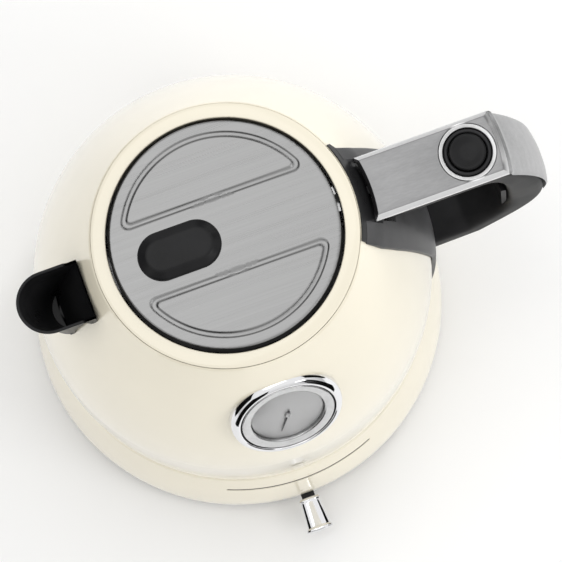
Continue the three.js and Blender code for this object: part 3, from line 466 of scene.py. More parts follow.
def dial_finish(matrix):
    """Satin silver dial with a fine grain and a ring of grey ticks, centred on the gauge."""
    n = Nodes("dial_face")
    n.set(Metallic=0.55, Roughness=0.34)
    inverse = matrix.inverted()
    mapping = n.coordinates(scale=(1 / MM,) * 3, location=inverse.to_translation(),
                            rotation=inverse.to_euler())
    split = n.add("ShaderNodeSeparateXYZ")
    n.link(mapping, split.inputs[0])
    radius = n.add("ShaderNodeMath", operation="POWER")
    square = [n.add("ShaderNodeMath", operation="MULTIPLY") for _ in range(2)]
    for node, axis in zip(square, ("X", "Y")):
        n.link(split.outputs[axis], node.inputs[0])
        n.link(split.outputs[axis], node.inputs[1])
    total = n.add("ShaderNodeMath", operation="ADD")
    n.link(square[0].outputs[0], total.inputs[0])
    n.link(square[1].outputs[0], total.inputs[1])
    n.link(total.outputs[0], radius.inputs[0])
    radius.inputs[1].default_value = 0.5
    angle = n.add("ShaderNodeMath", operation="ARCTAN2")
    n.link(split.outputs["Y"], angle.inputs[0])
    n.link(split.outputs["X"], angle.inputs[1])
    turns = n.add("ShaderNodeMath", operation="MULTIPLY")
    turns.inputs[1].default_value = 40 / TAU
    n.link(angle.outputs[0], turns.inputs[0])
    wave = n.add("ShaderNodeMath", operation="PINGPONG")
    wave.inputs[1].default_value = 0.5
    n.link(turns.outputs[0], wave.inputs[0])
    tick = n.range(wave.outputs[0], 1.0, 0.0, 0.03, 0.06)
    inside = n.range(radius.outputs[0], 0.0, 1.0, 16.1, 16.3)
    outside = n.range(radius.outputs[0], 1.0, 0.0, 17.6, 17.8)
    band = n.add("ShaderNodeMath", operation="MULTIPLY")
    n.link(inside, band.inputs[0])
    n.link(outside, band.inputs[1])
    mark = n.add("ShaderNodeMath", operation="MULTIPLY")
    n.link(band.outputs[0], mark.inputs[0])
    n.link(tick, mark.inputs[1])
    tone = n.ramp(mark.outputs[0], [(0.0, (0.48, 0.48, 0.48, 1)), (1.0, (0.25, 0.25, 0.25, 1))])
    n.link(tone, n.shader.inputs["Base Color"])
    grain = n.noise(n.coordinates(), scale=900)
    n.bump(grain, 0.1, 0.00003)
    return n.material


FINISH = {}


def finishes():
    """Makes each finish once and keeps it by name."""
    colours = bpy.context.scene.kettle_finishes
    along_x = (9, 1500, 1500)
    FINISH["enamel"] = enamel_finish(tuple(colours.enamel))
    # The collar's enamel is the body's enamel darkened to 0.9: painted shade, a darker copy of the same
    # paint that holds back the extra light on the upward-facing collar.
    FINISH["collar"] = enamel_finish(shade(colours.enamel, 0.9), "collar_enamel_painted_shade")
    FINISH["lid"] = brushed_finish("brushed_lid", tuple(colours.steel), along_x, 0.30)
    FINISH["vessel"] = brushed_finish("inner_steel", tuple(colours.steel), (300, 300, 2200), 0.27)
    # The bevel colour 0.86 is a polished chamfer's brightness with a painted highlight along the edge.
    FINISH["aluminium"] = brushed_finish("aluminium", tuple(colours.aluminium), (220, 900, 900), 0.36,
                                         strength=0.08, spread=0.04, chamfer_highlight=(0.86, 0.86, 0.86, 1))
    FINISH["skin"] = brushed_finish("satin_skin", shade(colours.aluminium, 1.65), (700, 700, 700), 0.38,
                                    strength=0.05, spread=0.03)
    FINISH["fasteners"] = brushed_finish("fasteners", (0.55, 0.55, 0.55, 1), (800, 800, 800), 0.3)
    FINISH["dish"] = brushed_finish("dish_steel", (0.62, 0.62, 0.62, 1), (800, 800, 800), 0.34,
                                    strength=0.05, spread=0.03)
    FINISH["ring"] = brushed_finish("dial_ring_steel", (0.62, 0.62, 0.62, 1), (500, 500, 500), 0.22,
                                    strength=0.04, spread=0.03)
    FINISH["chrome"] = chrome_finish()
    FINISH["black"] = moulded_finish("black_plastic", tuple(colours.black), 0.30)
    FINISH["saddle"] = moulded_finish("satin_black", (0.045, 0.045, 0.046, 1), 0.34)
    FINISH["gloss"] = moulded_finish("gloss_black", (0.02, 0.02, 0.021, 1), 0.16, strength=0.08)
    FINISH["grip"] = moulded_finish("soft_grip", tuple(colours.grip), 0.42, grain=900, strength=0.35,
                                    gloss=0.06)
    FINISH["rubber"] = moulded_finish("rubber", (0.02, 0.02, 0.02, 1), 0.62, grain=600, strength=0.4)
    FINISH["needle"] = moulded_finish("needle_paint", (0.02, 0.02, 0.022, 1), 0.4)
    FINISH["board"] = board_finish()
    FINISH["lens"] = lens_finish()
    FINISH["dial"] = dial_finish(gauge_matrix())


# ---------------------------------------------------------------- shapes of the jug and base


def body_radius(z):
    """Radius of the jug's outside at a height: above the widest part the collar's radius plus the rest
    times 1 - (1 - t)^power, and below it a parabola to the seam."""
    form = bpy.context.scene.kettle_form
    widest = form.widest / MM
    up = np.clip((SHELL_TOP + 1 - z) / (SHELL_TOP + 1 - widest), 0, 1)
    dome = COLLAR_R + (BODY_R - COLLAR_R) * (1 - (1 - up) ** form.dome_power)
    down = (widest - z) / (widest - SEAM_Z)
    taper = SEAM_R + (BODY_R - SEAM_R) * (1 - down**2)
    return np.where(z >= widest, dome, taper)


def skirt_radius(z):
    """Radius of the base's outside at a height: a flare down to its widest part, then a tuck."""
    form = bpy.context.scene.kettle_form
    widest = form.skirt_widest / MM
    t = np.clip((SEAM_Z - z) / (SEAM_Z - widest), 0, 1)
    flare = SEAM_R + (SKIRT_R - SEAM_R) * (1 - (1 - t) ** 1.45)
    t = (widest - z) / (widest - SKIRT_LOW)
    tuck = SKIRT_R - (SKIRT_R - form.skirt_foot / MM) * t**2
    return np.where(z >= widest, flare, tuck)


def smooth_step(value, start, end):
    t = np.clip((value - start) / (end - start), 0, 1)
    return t * t * (3 - 2 * t)


def gauge_matrix():
    """The gauge's own frame in metres: Z out of its face, X to the right."""
    turn = joint("needle_turn")
    normal = -Vector(turn["axis"]).normalized()
    right = Vector((1, 0, 0))
    upward = normal.cross(right).normalized()
    matrix = Matrix((right, upward, normal)).transposed().to_4x4()
    matrix.translation = Vector(turn["pos_m"])
    return matrix


def gauge_frame():
    """The same frame in millimetres."""
    matrix = gauge_matrix()
    matrix.translation = matrix.translation / MM
    return matrix


def banded(edges, low_value, high_value, count, tight=0.15):
    """Even values from low to high with a close pair of values at each edge."""
    values = list(np.linspace(low_value, high_value, count))
    for edge in edges:
        values += [edge - tight, edge + tight]
    return np.unique(np.round(np.array(values), 5))


def shell_grid(line, thickness, facets):
    """A wall's closed profile: the outer line up, over the edge, and the inner line down."""
    inner = parallel(line, thickness)[::-1]
    return revolved(np.vstack([line, inner]), facets)


class KETTLE_OT_shell(bpy.types.Operator):
    """Build the enamelled shell of the jug"""

    bl_idname = "kettle.shell"
    bl_label = "Jug shell"

    def execute(self, context):
        form = context.scene.kettle_form
        between = np.linspace(SHELL_LOW + 0.6, SHELL_TOP - 0.4, 150)
        heights = np.concatenate([[SHELL_LOW], between, [SHELL_TOP]])
        line = np.stack([body_radius(heights), heights], axis=1)
        line[0, 0] -= 0.5
        line[-1, 0] -= 0.3
        grid = shell_grid(line, form.wall / MM, form.facets)
        grid = self.pocket(grid)
        piece("jug_shell", [(grid, True, True)], "jug", FINISH["enamel"], ("outer_shell",))
        return {"FINISHED"}

    def pocket(self, grid):
        """Sinks the wall behind the gauge: within its bezel each point moves back along the gauge's axis
        by a depth that fades out under the bezel."""
        matrix = np.array(gauge_frame())
        local = (grid - matrix[:3, 3]) @ matrix[:3, :3]
        radius = np.hypot(local[..., 0], local[..., 1])
        near = (1 - smooth_step(radius, 25.5, 28.0)) * (local[..., 2] > -30)
        local[..., 2] -= 7.5 * near
        return local @ matrix[:3, :3].T + matrix[:3, 3]


class KETTLE_OT_collar(bpy.types.Operator):
    """Build the enamelled collar and the neck inside it"""

    bl_idname = "kettle.collar"
    bl_label = "Collar"

    def execute(self, context):
        bore = context.scene.kettle_form.neck_bore / MM
        flange = SHELL_TOP + 0.35
        crease = COLLAR_TOP - 1.2
        profile = rounded([
            (bore, NECK_LOW), (bore + 2.4, NECK_LOW), (bore + 2.4, flange), (COLLAR_R - 0.1, flange),
            (COLLAR_R, crease), (COLLAR_R - 1.2, crease + 0.4), (bore, COLLAR_TOP),
        ], [0.3, 0.3, 0.3, 0.2, 0.5, 0.8, 0.9], 6)
        # The collar's darker enamel is painted shade over the body's own colour.
        piece("collar", [ring(profile, 256)], "jug", FINISH["collar"], ("neck_ring",))
        return {"FINISHED"}


class KETTLE_OT_skirt(bpy.types.Operator):
    """Build the base's enamelled skirt with the lever's slot and the groove of the scale line"""

    bl_idname = "kettle.skirt"
    bl_label = "Base skirt"

    def execute(self, context):
        slot_low, slot_high = LEVER_Z - 2.4, LEVER_Z + 2.4
        scale_low, scale_high = low("scale_line")[2] - 0.2, high("scale_line")[2] + 0.2
        heights = banded([slot_low, slot_high, scale_low, scale_high], SKIRT_LOW, SEAM_Z, 60, 0.08)
        heights = heights[(heights >= SKIRT_LOW) & (heights <= SEAM_Z)]
        line = np.stack([skirt_radius(heights), heights], axis=1)
        inner = parallel(line, 2.4)[::-1]
        profile = np.vstack([line, inner])
        profile[0, 0] -= 0.8
        profile[len(line) - 1, 0] -= 0.5
        slot_half = 23.5
        scale_half = math.degrees(math.asin(high("scale_line")[0] / skirt_radius(scale_low)))
        edges = [s * v for s in (-1, 1) for v in (slot_half, scale_half + 0.2)]
        angles = banded(edges, -180, 180, 289, 0.04)
        angles = np.radians(angles[:-1] - 90)
        grid = np.stack([
            profile[:, :1] * np.cos(angles), profile[:, :1] * np.sin(angles),
            np.repeat(profile[:, 1:], len(angles), axis=1),
        ], axis=2)
        side = np.abs((np.degrees(angles) + 90 + 180) % 360 - 180)[None, :]
        outer = (np.arange(len(profile)) < len(line))[:, None]
        z = profile[:, 1:]
        slot = outer & (side < slot_half) & (z > slot_low) & (z < slot_high)
        groove = outer & (side < scale_half + 0.2) & (z > scale_low) & (z < scale_high)
        radius = np.hypot(grid[..., 0], grid[..., 1])
        scale = (radius - 2.1 * slot - 1.2 * groove) / radius
        grid[..., :2] *= scale[..., None]
        piece("base_enamel_skirt", [(grid, True, True)], "root", FINISH["enamel"], ("base_skirt",))
        self.scale_line(scale_half, (scale_low + scale_high) / 2)
        return {"FINISHED"}

    def scale_line(self, half, z):
        """A dark strip along the arc, with a rounded section carried round the base's front."""
        angles = np.radians(np.linspace(-half, half, 120) - 90)
        c, s = superellipse(16, 0.6)
        radius = skirt_radius(z) - 0.55 + 0.5 * c[None, :]
        grid = np.stack([
            radius * np.cos(angles)[:, None], radius * np.sin(angles)[:, None],
            np.broadcast_to(z + 0.5 * s[None, :], (len(angles), len(c))),
        ], axis=2)
        piece("scale_strip", [capped(grid)], "root", FINISH["black"], ("scale_line",))


class KETTLE_OT_vessel(bpy.types.Operator):
    """Build the steel vessel inside the jug"""

    bl_idname = "kettle.vessel"
    bl_label = "Inner vessel"

    def execute(self, context):
        floor = low("inner_vessel")[2]
        top = high("inner_vessel")[2]
        heights = np.linspace(floor + 8, top - 14, 60)
        wall = np.stack([body_radius(heights) - 9.0, heights], axis=1)
        bore = context.scene.kettle_form.neck_bore / MM
        outer = np.vstack([
            [(0, floor), (60, floor), (wall[0, 0] - 9, floor), (wall[0, 0] - 2, floor + 2.5)], wall,
            bezier(wall[-1], (bore + 6, top - 9), (bore + 1.4, top - 7), (bore + 1.4, top - 3), 12)[1:],
            [(bore + 1.2, top)],
        ])
        inner = parallel(outer[1:], 1.1)[::-1]
        profile = np.vstack([outer, inner, [(0, floor + 1.1)]])
        piece("steel_vessel", [disc(profile, 192)], "jug", FINISH["vessel"], ("inner_vessel",))
        return {"FINISHED"}


# ---------------------------------------------------------------- lid


class KETTLE_OT_lid(bpy.types.Operator):
    """Build the brushed lid with its two pressed beads"""

    bl_idname = "kettle.lid"
    bl_label = "Lid plate"

    def execute(self, context):
        form = context.scene.kettle_lid
        radii = np.concatenate([np.linspace(0, 22, 24), np.linspace(22.3, LID_R - 1.6, 120)])
        angles = np.linspace(0, TAU, 512, endpoint=False)
        x = radii[:, None] * np.cos(angles)
        y = radii[:, None] * np.sin(angles)
        z = LID_TOP + LID_RISE * (1 - (radii[:, None] / LID_R) ** 2) + self.bead(x, y, form)
        top = np.stack([x, y, z], axis=2)
        rim = rounded([
            (LID_R - 1.6, LID_TOP + 0.04), (LID_R - 0.6, LID_TOP - 0.05), (LID_R, LID_TOP - 0.5),
            (LID_R - 0.2, LID_TOP - 0.95), (LID_R - 1.0, LID_TOP - 0.95), (0, LID_TOP - 0.95),
        ], [0.2, 0.5, 0.3, 0.2, 0.2, 0.2], 5, closed=False)
        grid = np.concatenate([top, revolved(rim[1:], 512)])
        piece("lid_skin", [(grid, False, True)], "lid", FINISH["lid"], ("lid_plate",))
        return {"FINISHED"}

    def bead(self, x, y, form):
        """Height of the beads: each follows the outline of a rounded D, the overlap of a half plane and a
        disc, and is a flat-bottomed channel with smooth shoulders across that outline."""
        corner = form.bead_corner / MM
        a = (form.bead_half / MM + corner) - np.abs(y)
        b = np.hypot(x, y) - (form.bead_radius / MM - corner)
        distance = np.minimum(np.maximum(a, b), 0) + np.hypot(np.maximum(a, 0), np.maximum(b, 0)) - corner
        half = form.bead_width / MM / 2
        channel = 1 - smooth_step(np.abs(distance), half * 0.35, half)
        panel = smooth_step(-distance, -half, half * 0.5)
        return -form.bead_depth / MM * channel + 0.12 * panel


class KETTLE_OT_pad(bpy.types.Operator):
    """Build the lid's black press pad"""

    bl_idname = "kettle.pad"
    bl_label = "Press pad"

    def execute(self, context):
        ends_low, ends_high = low("press_pad"), high("press_pad")
        half_wide = (ends_high[1] - ends_low[1]) / 2
        reach = (ends_high[0] - ends_low[0]) / 2 - half_wide
        centre = (ends_high[0] + ends_low[0]) / 2
        base, top = ends_low[2] - 0.3, ends_high[2]
        rows = rounded([
            (0.0, base), (half_wide - 0.3, base), (half_wide, base + 0.6), (half_wide - 0.5, base + 1.2),
            (half_wide - 4.2, top - 0.15), (half_wide - 6.0, top), (0.0, top - 0.25),
        ], [0.1, 0.2, 0.3, 0.5, 1.2, 1.5, 0.1], 6, closed=False)
        piece("lid_pad", [self.stadium(rows, reach, centre)], "lid", FINISH["black"], ("press_pad",))
        seat = rounded([
            (half_wide - 1.0, LID_TOP - 0.2), (half_wide + 0.15, LID_TOP - 0.2),
            (half_wide + 0.35, base + 0.15),
            (half_wide - 0.9, base + 0.25),
        ], 0.2, 4)
        grid, _, _ = self.stadium(seat, reach, centre)
        piece("pad_seat", [(grid, True, True)], "lid", FINISH["black"], ())
        return {"FINISHED"}

    def stadium(self, rows, reach, centre):
        """A profile of (distance from the middle line, height) carried round a straight middle line."""
        a = np.linspace(0, TAU, 160, endpoint=False)
        middle = np.clip(np.cos(a) * 1e6, -reach, reach)
        x = centre + middle[None, :] + rows[:, :1] * np.cos(a)
        y = rows[:, :1] * np.sin(a)
        return (np.stack([x, y, np.repeat(rows[:, 1:2], len(a), axis=1)], axis=2), False, True)


# ---------------------------------------------------------------- spout


class KETTLE_OT_spout(bpy.types.Operator):
    """Build the black spout as one scoop: outside, thin rim and the lining that dives along the dome"""

    bl_idname = "kettle.spout"
    bl_label = "Spout"

    def execute(self, context):
        tip, root = low("spout")[0], -76.0
        half, top = high("spout")[1], high("spout")[2]
        depth = top - low("spout")[2]
        wall = context.scene.kettle_form.spout_rim / MM
        rows = []
        for s in np.linspace(1, 0.03, 22):
            f = 1 - (1 - s) ** 1.6
            rows.append(self.outline(tip + 19 * f, root + 4 * s, half * (1 - 0.34 * f), top - s * depth))
        rim = ((0, 0.6), (0.15, 0.15), (0.5, 0), (wall - 0.4, 0), (wall - 0.1, 0.15), (wall, 0.6))
        for inset, drop in rim:
            rows.append(self.rim(tip + inset, root - 0.3 * inset, half - inset, top - drop))
        for s in np.linspace(0.05, 1, 18):
            z = top - 38 * s
            back = -max(body_radius(z) + 1.0, -root + 0.3 * wall)
            f = 1 - (1 - s) ** 1.5
            rows.append(self.outline(tip + wall + 11 * f, back, (half - wall) * (1 - 0.12 * f), z))
        piece("spout_scoop", [capped(np.array(rows))], "jug", FINISH["black"], ("spout",))
        return {"FINISHED"}

    def rim(self, tip, root, half, z):
        """The outline at the rim, which sinks to the dome where the scoop meets it."""
        loop = self.outline(tip, root, half, z)
        heights = np.linspace(SHELL_TOP, 150, 200)
        dome = np.interp(np.hypot(loop[:, 0], loop[:, 1]), body_radius(heights), heights)
        share = smooth_step(loop[:, 0], root - 7, root - 0.5)
        loop[:, 2] += (np.minimum(dome + 0.7, z) - z) * share
        return loop

    def outline(self, tip, root, half, z):
        """A tongue: a half-round end at the tip, straight sides and a straight root with tight corners."""
        nose = tip + half
        a = np.linspace(math.pi / 2, 3 * math.pi / 2, 61)
        arc = np.stack([nose + half * np.cos(a), half * np.sin(a)], axis=1)
        sides = np.linspace(0, 1, 25)[1:-1, None]
        corner = np.array([root, -half])
        lower = arc[-1] + (corner - arc[-1]) * sides
        upper = arc[0] + (np.array([root, half]) - arc[0]) * sides[::-1]
        across = np.stack([np.full(31, root), np.linspace(-half, half, 31)], axis=1)
        loop = np.vstack([arc, lower, across, upper])
        return np.column_stack([loop, np.full(len(loop), z)])


# ---------------------------------------------------------------- gauge


class KETTLE_OT_gauge(bpy.types.Operator):
    """Build the temperature gauge: bezel, ring, dial, needle and lens"""

    bl_idname = "kettle.gauge"
    bl_label = "Gauge"

    def execute(self, context):
        frame_mm = gauge_frame()
        bezel = rounded([
            (27.8, -5.8), (29.9, -5.4), (29.95, 0.2), (28.9, 2.7), (26.9, 3.9), (25.7, 3.6), (25.4, 2.2),
            (25.4, -5.8),
        ], [0.3, 0.4, 1.4, 1.6, 1.2, 0.6, 0.8, 0.3], 7)
        piece("bezel", [ring(bezel, 192, frame_mm)], "jug", FINISH["chrome"], ("gauge_bezel",))
        inner = rounded([
            (19.7, 0.9), (24.6, 0.9), (24.9, 2.9), (24.5, 3.45), (20.5, 2.95), (19.8, 2.6),
        ], [0.2, 0.2, 0.3, 0.35, 0.5, 0.3], 6)
        piece("dial_ring", [ring(inner, 192, frame_mm)], "jug", FINISH["ring"], ("gauge_ring",))
        face = [(0, 1.3), (18.9, 1.3), (19.25, 1.1), (19.25, 0.5), (0, 0.5)]
        piece("dial", [disc(face, 128, frame_mm)], "jug", FINISH["dial"], ("gauge_dial",))
        self.needle(frame_mm)
        glass = rounded([(0, 3.05), (19.2, 3.05), (19.4, 3.3), (19.2, 3.5), (0, 3.75)], 0.1, 4,
                        closed=False)
        piece("lens_glass", [disc(glass, 128, frame_mm)], "jug", FINISH["lens"], ("gauge_lens",))
        return {"FINISHED"}

    def needle(self, frame_mm):
        """A pointer whose half width tapers from tail to tip, with a turned hub over its pivot."""
        run = np.linspace(-3.2, NEEDLE_LONG, 30)
        half = np.interp(run, [-3.2, -2.6, 0, 12.4, 13.0], [0.35, 0.62, 0.6, 0.22, 0.08])
        c, s = superellipse(12, 0.7)
        grid = np.stack([
            np.repeat(run[:, None], 12, axis=1), half[:, None] * c[None, :],
            np.broadcast_to(1.95 + 0.2 * s, (30, 12)),
        ], axis=2)
        turn = frame_mm @ Matrix.Rotation(math.radians(-115), 4, "Z")
        pointer = capped(placed(grid, turn))
        piece("pointer", [pointer], "needle", FINISH["needle"], ("gauge_needle",))
        hub = rounded([(0, 1.5), (1.5, 1.5), (1.75, 2.3), (1.1, 2.6), (0.7, 2.35), (0, 2.35)], 0.15, 4,
                      closed=False)
        piece("pointer_hub", [disc(hub, 48, frame_mm)], "needle", FINISH["fasteners"], ())


# ---------------------------------------------------------------- handle


class KETTLE_OT_handle_plate(bpy.types.Operator):
    """Build the satin plate along the handle's top, round the button"""

    bl_idname = "kettle.handle_plate"
    bl_label = "Handle plate"

    def execute(self, context):
        edge = self.plan(0)
        angle = np.arctan2(edge[:, 1], edge[:, 0] - BUTTON_X)
        spoke = np.stack([np.cos(angle), np.sin(angle)], axis=1)
        hole = np.array([BUTTON_X, 0]) + 15.1 * spoke
        seat = np.array([BUTTON_X, 0]) + 15.5 * spoke
        rows = [
            (hole, PLATE_LOW + 0.1), (hole, PLATE_TOP - 0.25), (hole + 0.15 * spoke, PLATE_TOP - 0.04),
            (seat, PLATE_TOP), ((seat + self.plan(2.95)) / 2, PLATE_TOP), (self.plan(2.95), PLATE_TOP),
            (self.plan(2.6), PLATE_TOP - 0.05), (self.plan(2.25), PLATE_TOP - 0.3),
            (self.plan(0.7), PLATE_TOP - 1.75), (self.plan(0.25), PLATE_TOP - 2.15),
            (self.plan(0.03), PLATE_TOP - 2.6), (edge, PLATE_LOW + 0.3), (self.plan(0.3), PLATE_LOW),
        ]
        grid = np.array([np.column_stack([p, np.full(len(p), z)]) for p, z in rows])
        made = piece("top_plate", [(grid, True, True)], "jug", FINISH["aluminium"], ("handle_plate",))
        self.mark(made.data)
        return {"FINISHED"}

    def mark(self, mesh):
        """Writes the chamfer attribute: 1 outside the inset outline where the top's flat ends, the bevel
        band that gets the painted highlight colour.
        """
        place = np.empty(len(mesh.vertices) * 3)
        mesh.vertices.foreach_get("co", place)
        x, y, _ = (place.reshape(-1, 3) / MM).T
        aside = np.abs(y) - HANDLE_HALF
        ahead = x + 2 * (y / HANDLE_HALF) ** 2 - PLATE_END
        beyond = np.maximum(aside, ahead) + PLATE_CHAMFER
        values = smooth_step(beyond, -0.1, 0.1)
        mesh.attributes.new("chamfer_highlight", "FLOAT", "POINT").data.foreach_set("value", values)

    def plan(self, inset):
        """The plate's outline moved inwards: a hollow front about the jug's axis, straight sides and a
        rounded end, each with its own fixed number of points."""
        half = HANDLE_HALF - inset
        front = PLATE_FRONT_R + inset * 0.6
        spread = math.asin(half / front)
        a = np.linspace(spread, -spread, 60)
        arc = np.stack([front * np.cos(a), front * np.sin(a)], axis=1)
        t = np.linspace(0, 1, 60)[:, None]
        end = PLATE_END - inset
        ends = [np.array(p) for p in ((end - 2, -half), (end + 2, 0), (end - 2, half))]
        tip = (1 - t) ** 2 * ends[0] + 2 * t * (1 - t) * ends[1] + t**2 * ends[2]
        along = np.linspace(0, 1, 90)[1:-1, None]
        side = arc[-1] + (tip[0] - arc[-1]) * along
        other = tip[-1] + (arc[0] - tip[-1]) * along
        return np.vstack([arc, side, tip, other])


class KETTLE_OT_handle_skin(bpy.types.Operator):
    """Build the silver skin over the handle's outer end"""

    bl_idname = "kettle.handle_skin"
    bl_label = "Handle end skin"

    def execute(self, context):
        far = END_X + END_BULGE
        path = np.vstack([
            bezier((149.6, 203.4), (158, 188), (far, END_Z + 36), (far, END_Z), 60),
            bezier((far, END_Z), (far, END_Z - 26), (156, 85), (132, 67), 60)[1:],
        ])
        start = np.array([[PLATE_END - 1.2, PLATE_TOP - 1.6], [PLATE_END + 1.4, PLATE_TOP - 3.2]])
        path = np.vstack([start, path[6:]])
        path = resampled(path[path[:, 1] > SKIN_LOW + 0.5], 70)
        side = np.linspace(-1, 1, 33)
        bulge = -1.8 * np.abs(side) ** 2.2 - 0.9 * np.clip((np.abs(side) - 0.93) / 0.07, 0, 1) ** 2
        inner = np.stack([side[::-1] * 0.985, np.full(33, -2.7)], axis=1)
        section = np.concatenate([np.stack([side, bulge], axis=1), inner])
        d = np.gradient(path, axis=0)
        d /= np.linalg.norm(d, axis=1, keepdims=True)
        outward = np.stack([-d[:, 1], d[:, 0]], axis=1)
        x = path[:, :1] + outward[:, :1] * section[None, :, 1]
        z = path[:, 1:] + outward[:, 1:] * section[None, :, 1]
        half = np.interp(path[:, 1], [SKIN_LOW, END_Z, 165, 203], [13.2, 13.8, 15.9, HANDLE_HALF])
        grid = np.stack([x, half[:, None] * section[None, :, 0], z], axis=2)
        piece("end_skin", [capped(grid)], "jug", FINISH["skin"], ("handle_skin",))
        return {"FINISHED"}


class KETTLE_OT_grip(bpy.types.Operator):
    """Build the soft black loop of the handle"""

    bl_idname = "kettle.grip"
    bl_label = "Handle loop"

    def execute(self, context):
        arm_top = high("handle_frame")[2]
        far = high("handle_frame")[0] + END_BULGE
        outer = np.vstack([
            [(78.6, arm_top), (100, arm_top), (145, arm_top)],
            bezier((145, arm_top), (155, 188), (far, END_Z + 36), (far, END_Z), 40)[1:],
            bezier((far, END_Z), (far, END_Z - 26), (153, 85), (132, 67), 40)[1:], [(101, 63.6)],
        ])
        inner = np.vstack([
            [(82, ARM_LOW), (100, ARM_LOW), (132, ARM_LOW)],
            bezier((132, ARM_LOW), (144, ARM_LOW), (147, END_Z + 34), (147, END_Z), 40)[1:],
            bezier((147, END_Z), (147, END_Z - 22), (139, 97), (124, 85), 40)[1:], [(104, 84)],
        ])
        knots = self.matched(outer, inner, 150)
        c, s = superellipse(112, 0.42)
        top, under = knots
        middle = (top + under) / 2
        reach = (top - under) / 2
        y = np.broadcast_to(16 * c[None, :], (len(middle), len(c))).copy()
        x = middle[:, :1] + reach[:, :1] * s[None, :]
        z = middle[:, 1:] + reach[:, 1:] * s[None, :]
        channel = (s[None, :] > 0.3) & (z > 180) & (x < 143.4)
        z = np.where(channel & (np.abs(y) < 7.2), np.minimum(z, 191.4), z)
        well = channel & (np.abs(y) < 13.5) & (np.hypot(x - BUTTON_X, y) < 13.5)
        z = np.where(well & (np.abs(y) >= 7.2), np.minimum(z, 201.2), z)
        grid = np.stack([x, y, z], axis=2)
        piece("handle_loop", [capped(grid)], "jug", FINISH["grip"], ("handle_frame",))
        return {"FINISHED"}

    def matched(self, outer, inner, count):
        """Both lines at the same steps: each third is resampled on its own so that the corners match."""
        pairs = []
        for line, cuts in ((outer, (2, 41, 80)), (inner, (2, 41, 80))):
            a = resampled(line[: cuts[0] + 1], count // 3)
            b = resampled(line[cuts[0]: cuts[1] + 1], count // 3)
            c = resampled(line[cuts[1]:], count // 3)
            pairs.append(np.vstack([a, b[1:], c[1:]]))
        return pairs


class KETTLE_OT_saddle(bpy.types.Operator):
    """Build the satin black saddle on the dome and the crescent beside the collar"""

    bl_idname = "kettle.saddle"
    bl_label = "Saddle and crescent"

    def execute(self, context):
        self.saddle()
        self.crescent()
        return {"FINISHED"}

    def saddle(self):
        """A shell on the dome: at each height its half width follows the plan's flare, and its thickness is
        a rounded cushion across that width."""
        z = np.concatenate([np.linspace(212, 160, 60), np.linspace(158, low("saddle")[2] + 0.5, 60)])
        r = body_radius(z)
        rings = [70.5, 72.3, 79, 87, 98, 101.7, 103.6]
        near = np.interp(r, rings, [27.4, 28.2, 30.2, 30.6, 30.2, 29.6, 28.4])
        far = np.interp(r, rings, [25.6, 24.6, 24.4, 25.2, 26.0, 26.0, 26.0])
        c, s = superellipse(96, 0.5)
        start = smooth_step(r, 70.5, 78)
        thick = (0.9 + 2.1 * start)[:, None] * (0.62 + 0.42 * s[None, :])
        radius = r[:, None] + np.where(s[None, :] > 0, thick, 0.4)
        half = np.where(c[None, :] > 0, far[:, None], near[:, None])
        angle = np.arcsin(np.clip(half * c[None, :] / radius, -1, 1))
        height = np.repeat(z[:, None], 96, axis=1)
        grid = np.stack([radius * np.cos(angle), radius * np.sin(angle), height], axis=2)
        arm = (np.abs(grid[..., 1]) < 16.9) & (grid[..., 2] > 184)
        shrink = (r[:, None] + 0.3) / radius
        grid[..., :2] = np.where(arm[..., None], grid[..., :2] * shrink[..., None], grid[..., :2])
        piece("handle_saddle", [capped(grid)], "jug", FINISH["saddle"], ("saddle",))

    def crescent(self):
        """A strip on the dome between the collar and the plate: its outer edge is the plate's round front,
        then a straight line to each tip."""
        spread = math.radians(22.3)
        a = np.linspace(-spread, spread, 121)
        line = 922.5 / (10.1 * np.cos(a) + 9.2 * np.sin(np.abs(a)))
        outer = np.minimum(77.2, line)
        t = np.concatenate([np.linspace(0, 1, 16), np.linspace(1, 0, 16)])
        upper = np.arange(32) < 16
        radius = COLLAR_R + 0.75 + (outer - COLLAR_R - 0.75)[:, None] * t[None, :]
        heights = np.linspace(SHELL_TOP + 1, 150, 300)
        dome = np.interp(radius, body_radius(heights), heights)
        rounding = np.clip(np.minimum(t, 1 - t) / 0.08, 0, 1) ** 0.5
        z = dome + np.where(upper, 0.5 + 1.1 * rounding, 0.3)[None, :]
        grid = np.stack([radius * np.cos(a)[:, None], radius * np.sin(a)[:, None], z], axis=2)
        piece("crescent", [capped(grid)], "jug", FINISH["black"], ("handle_root",))


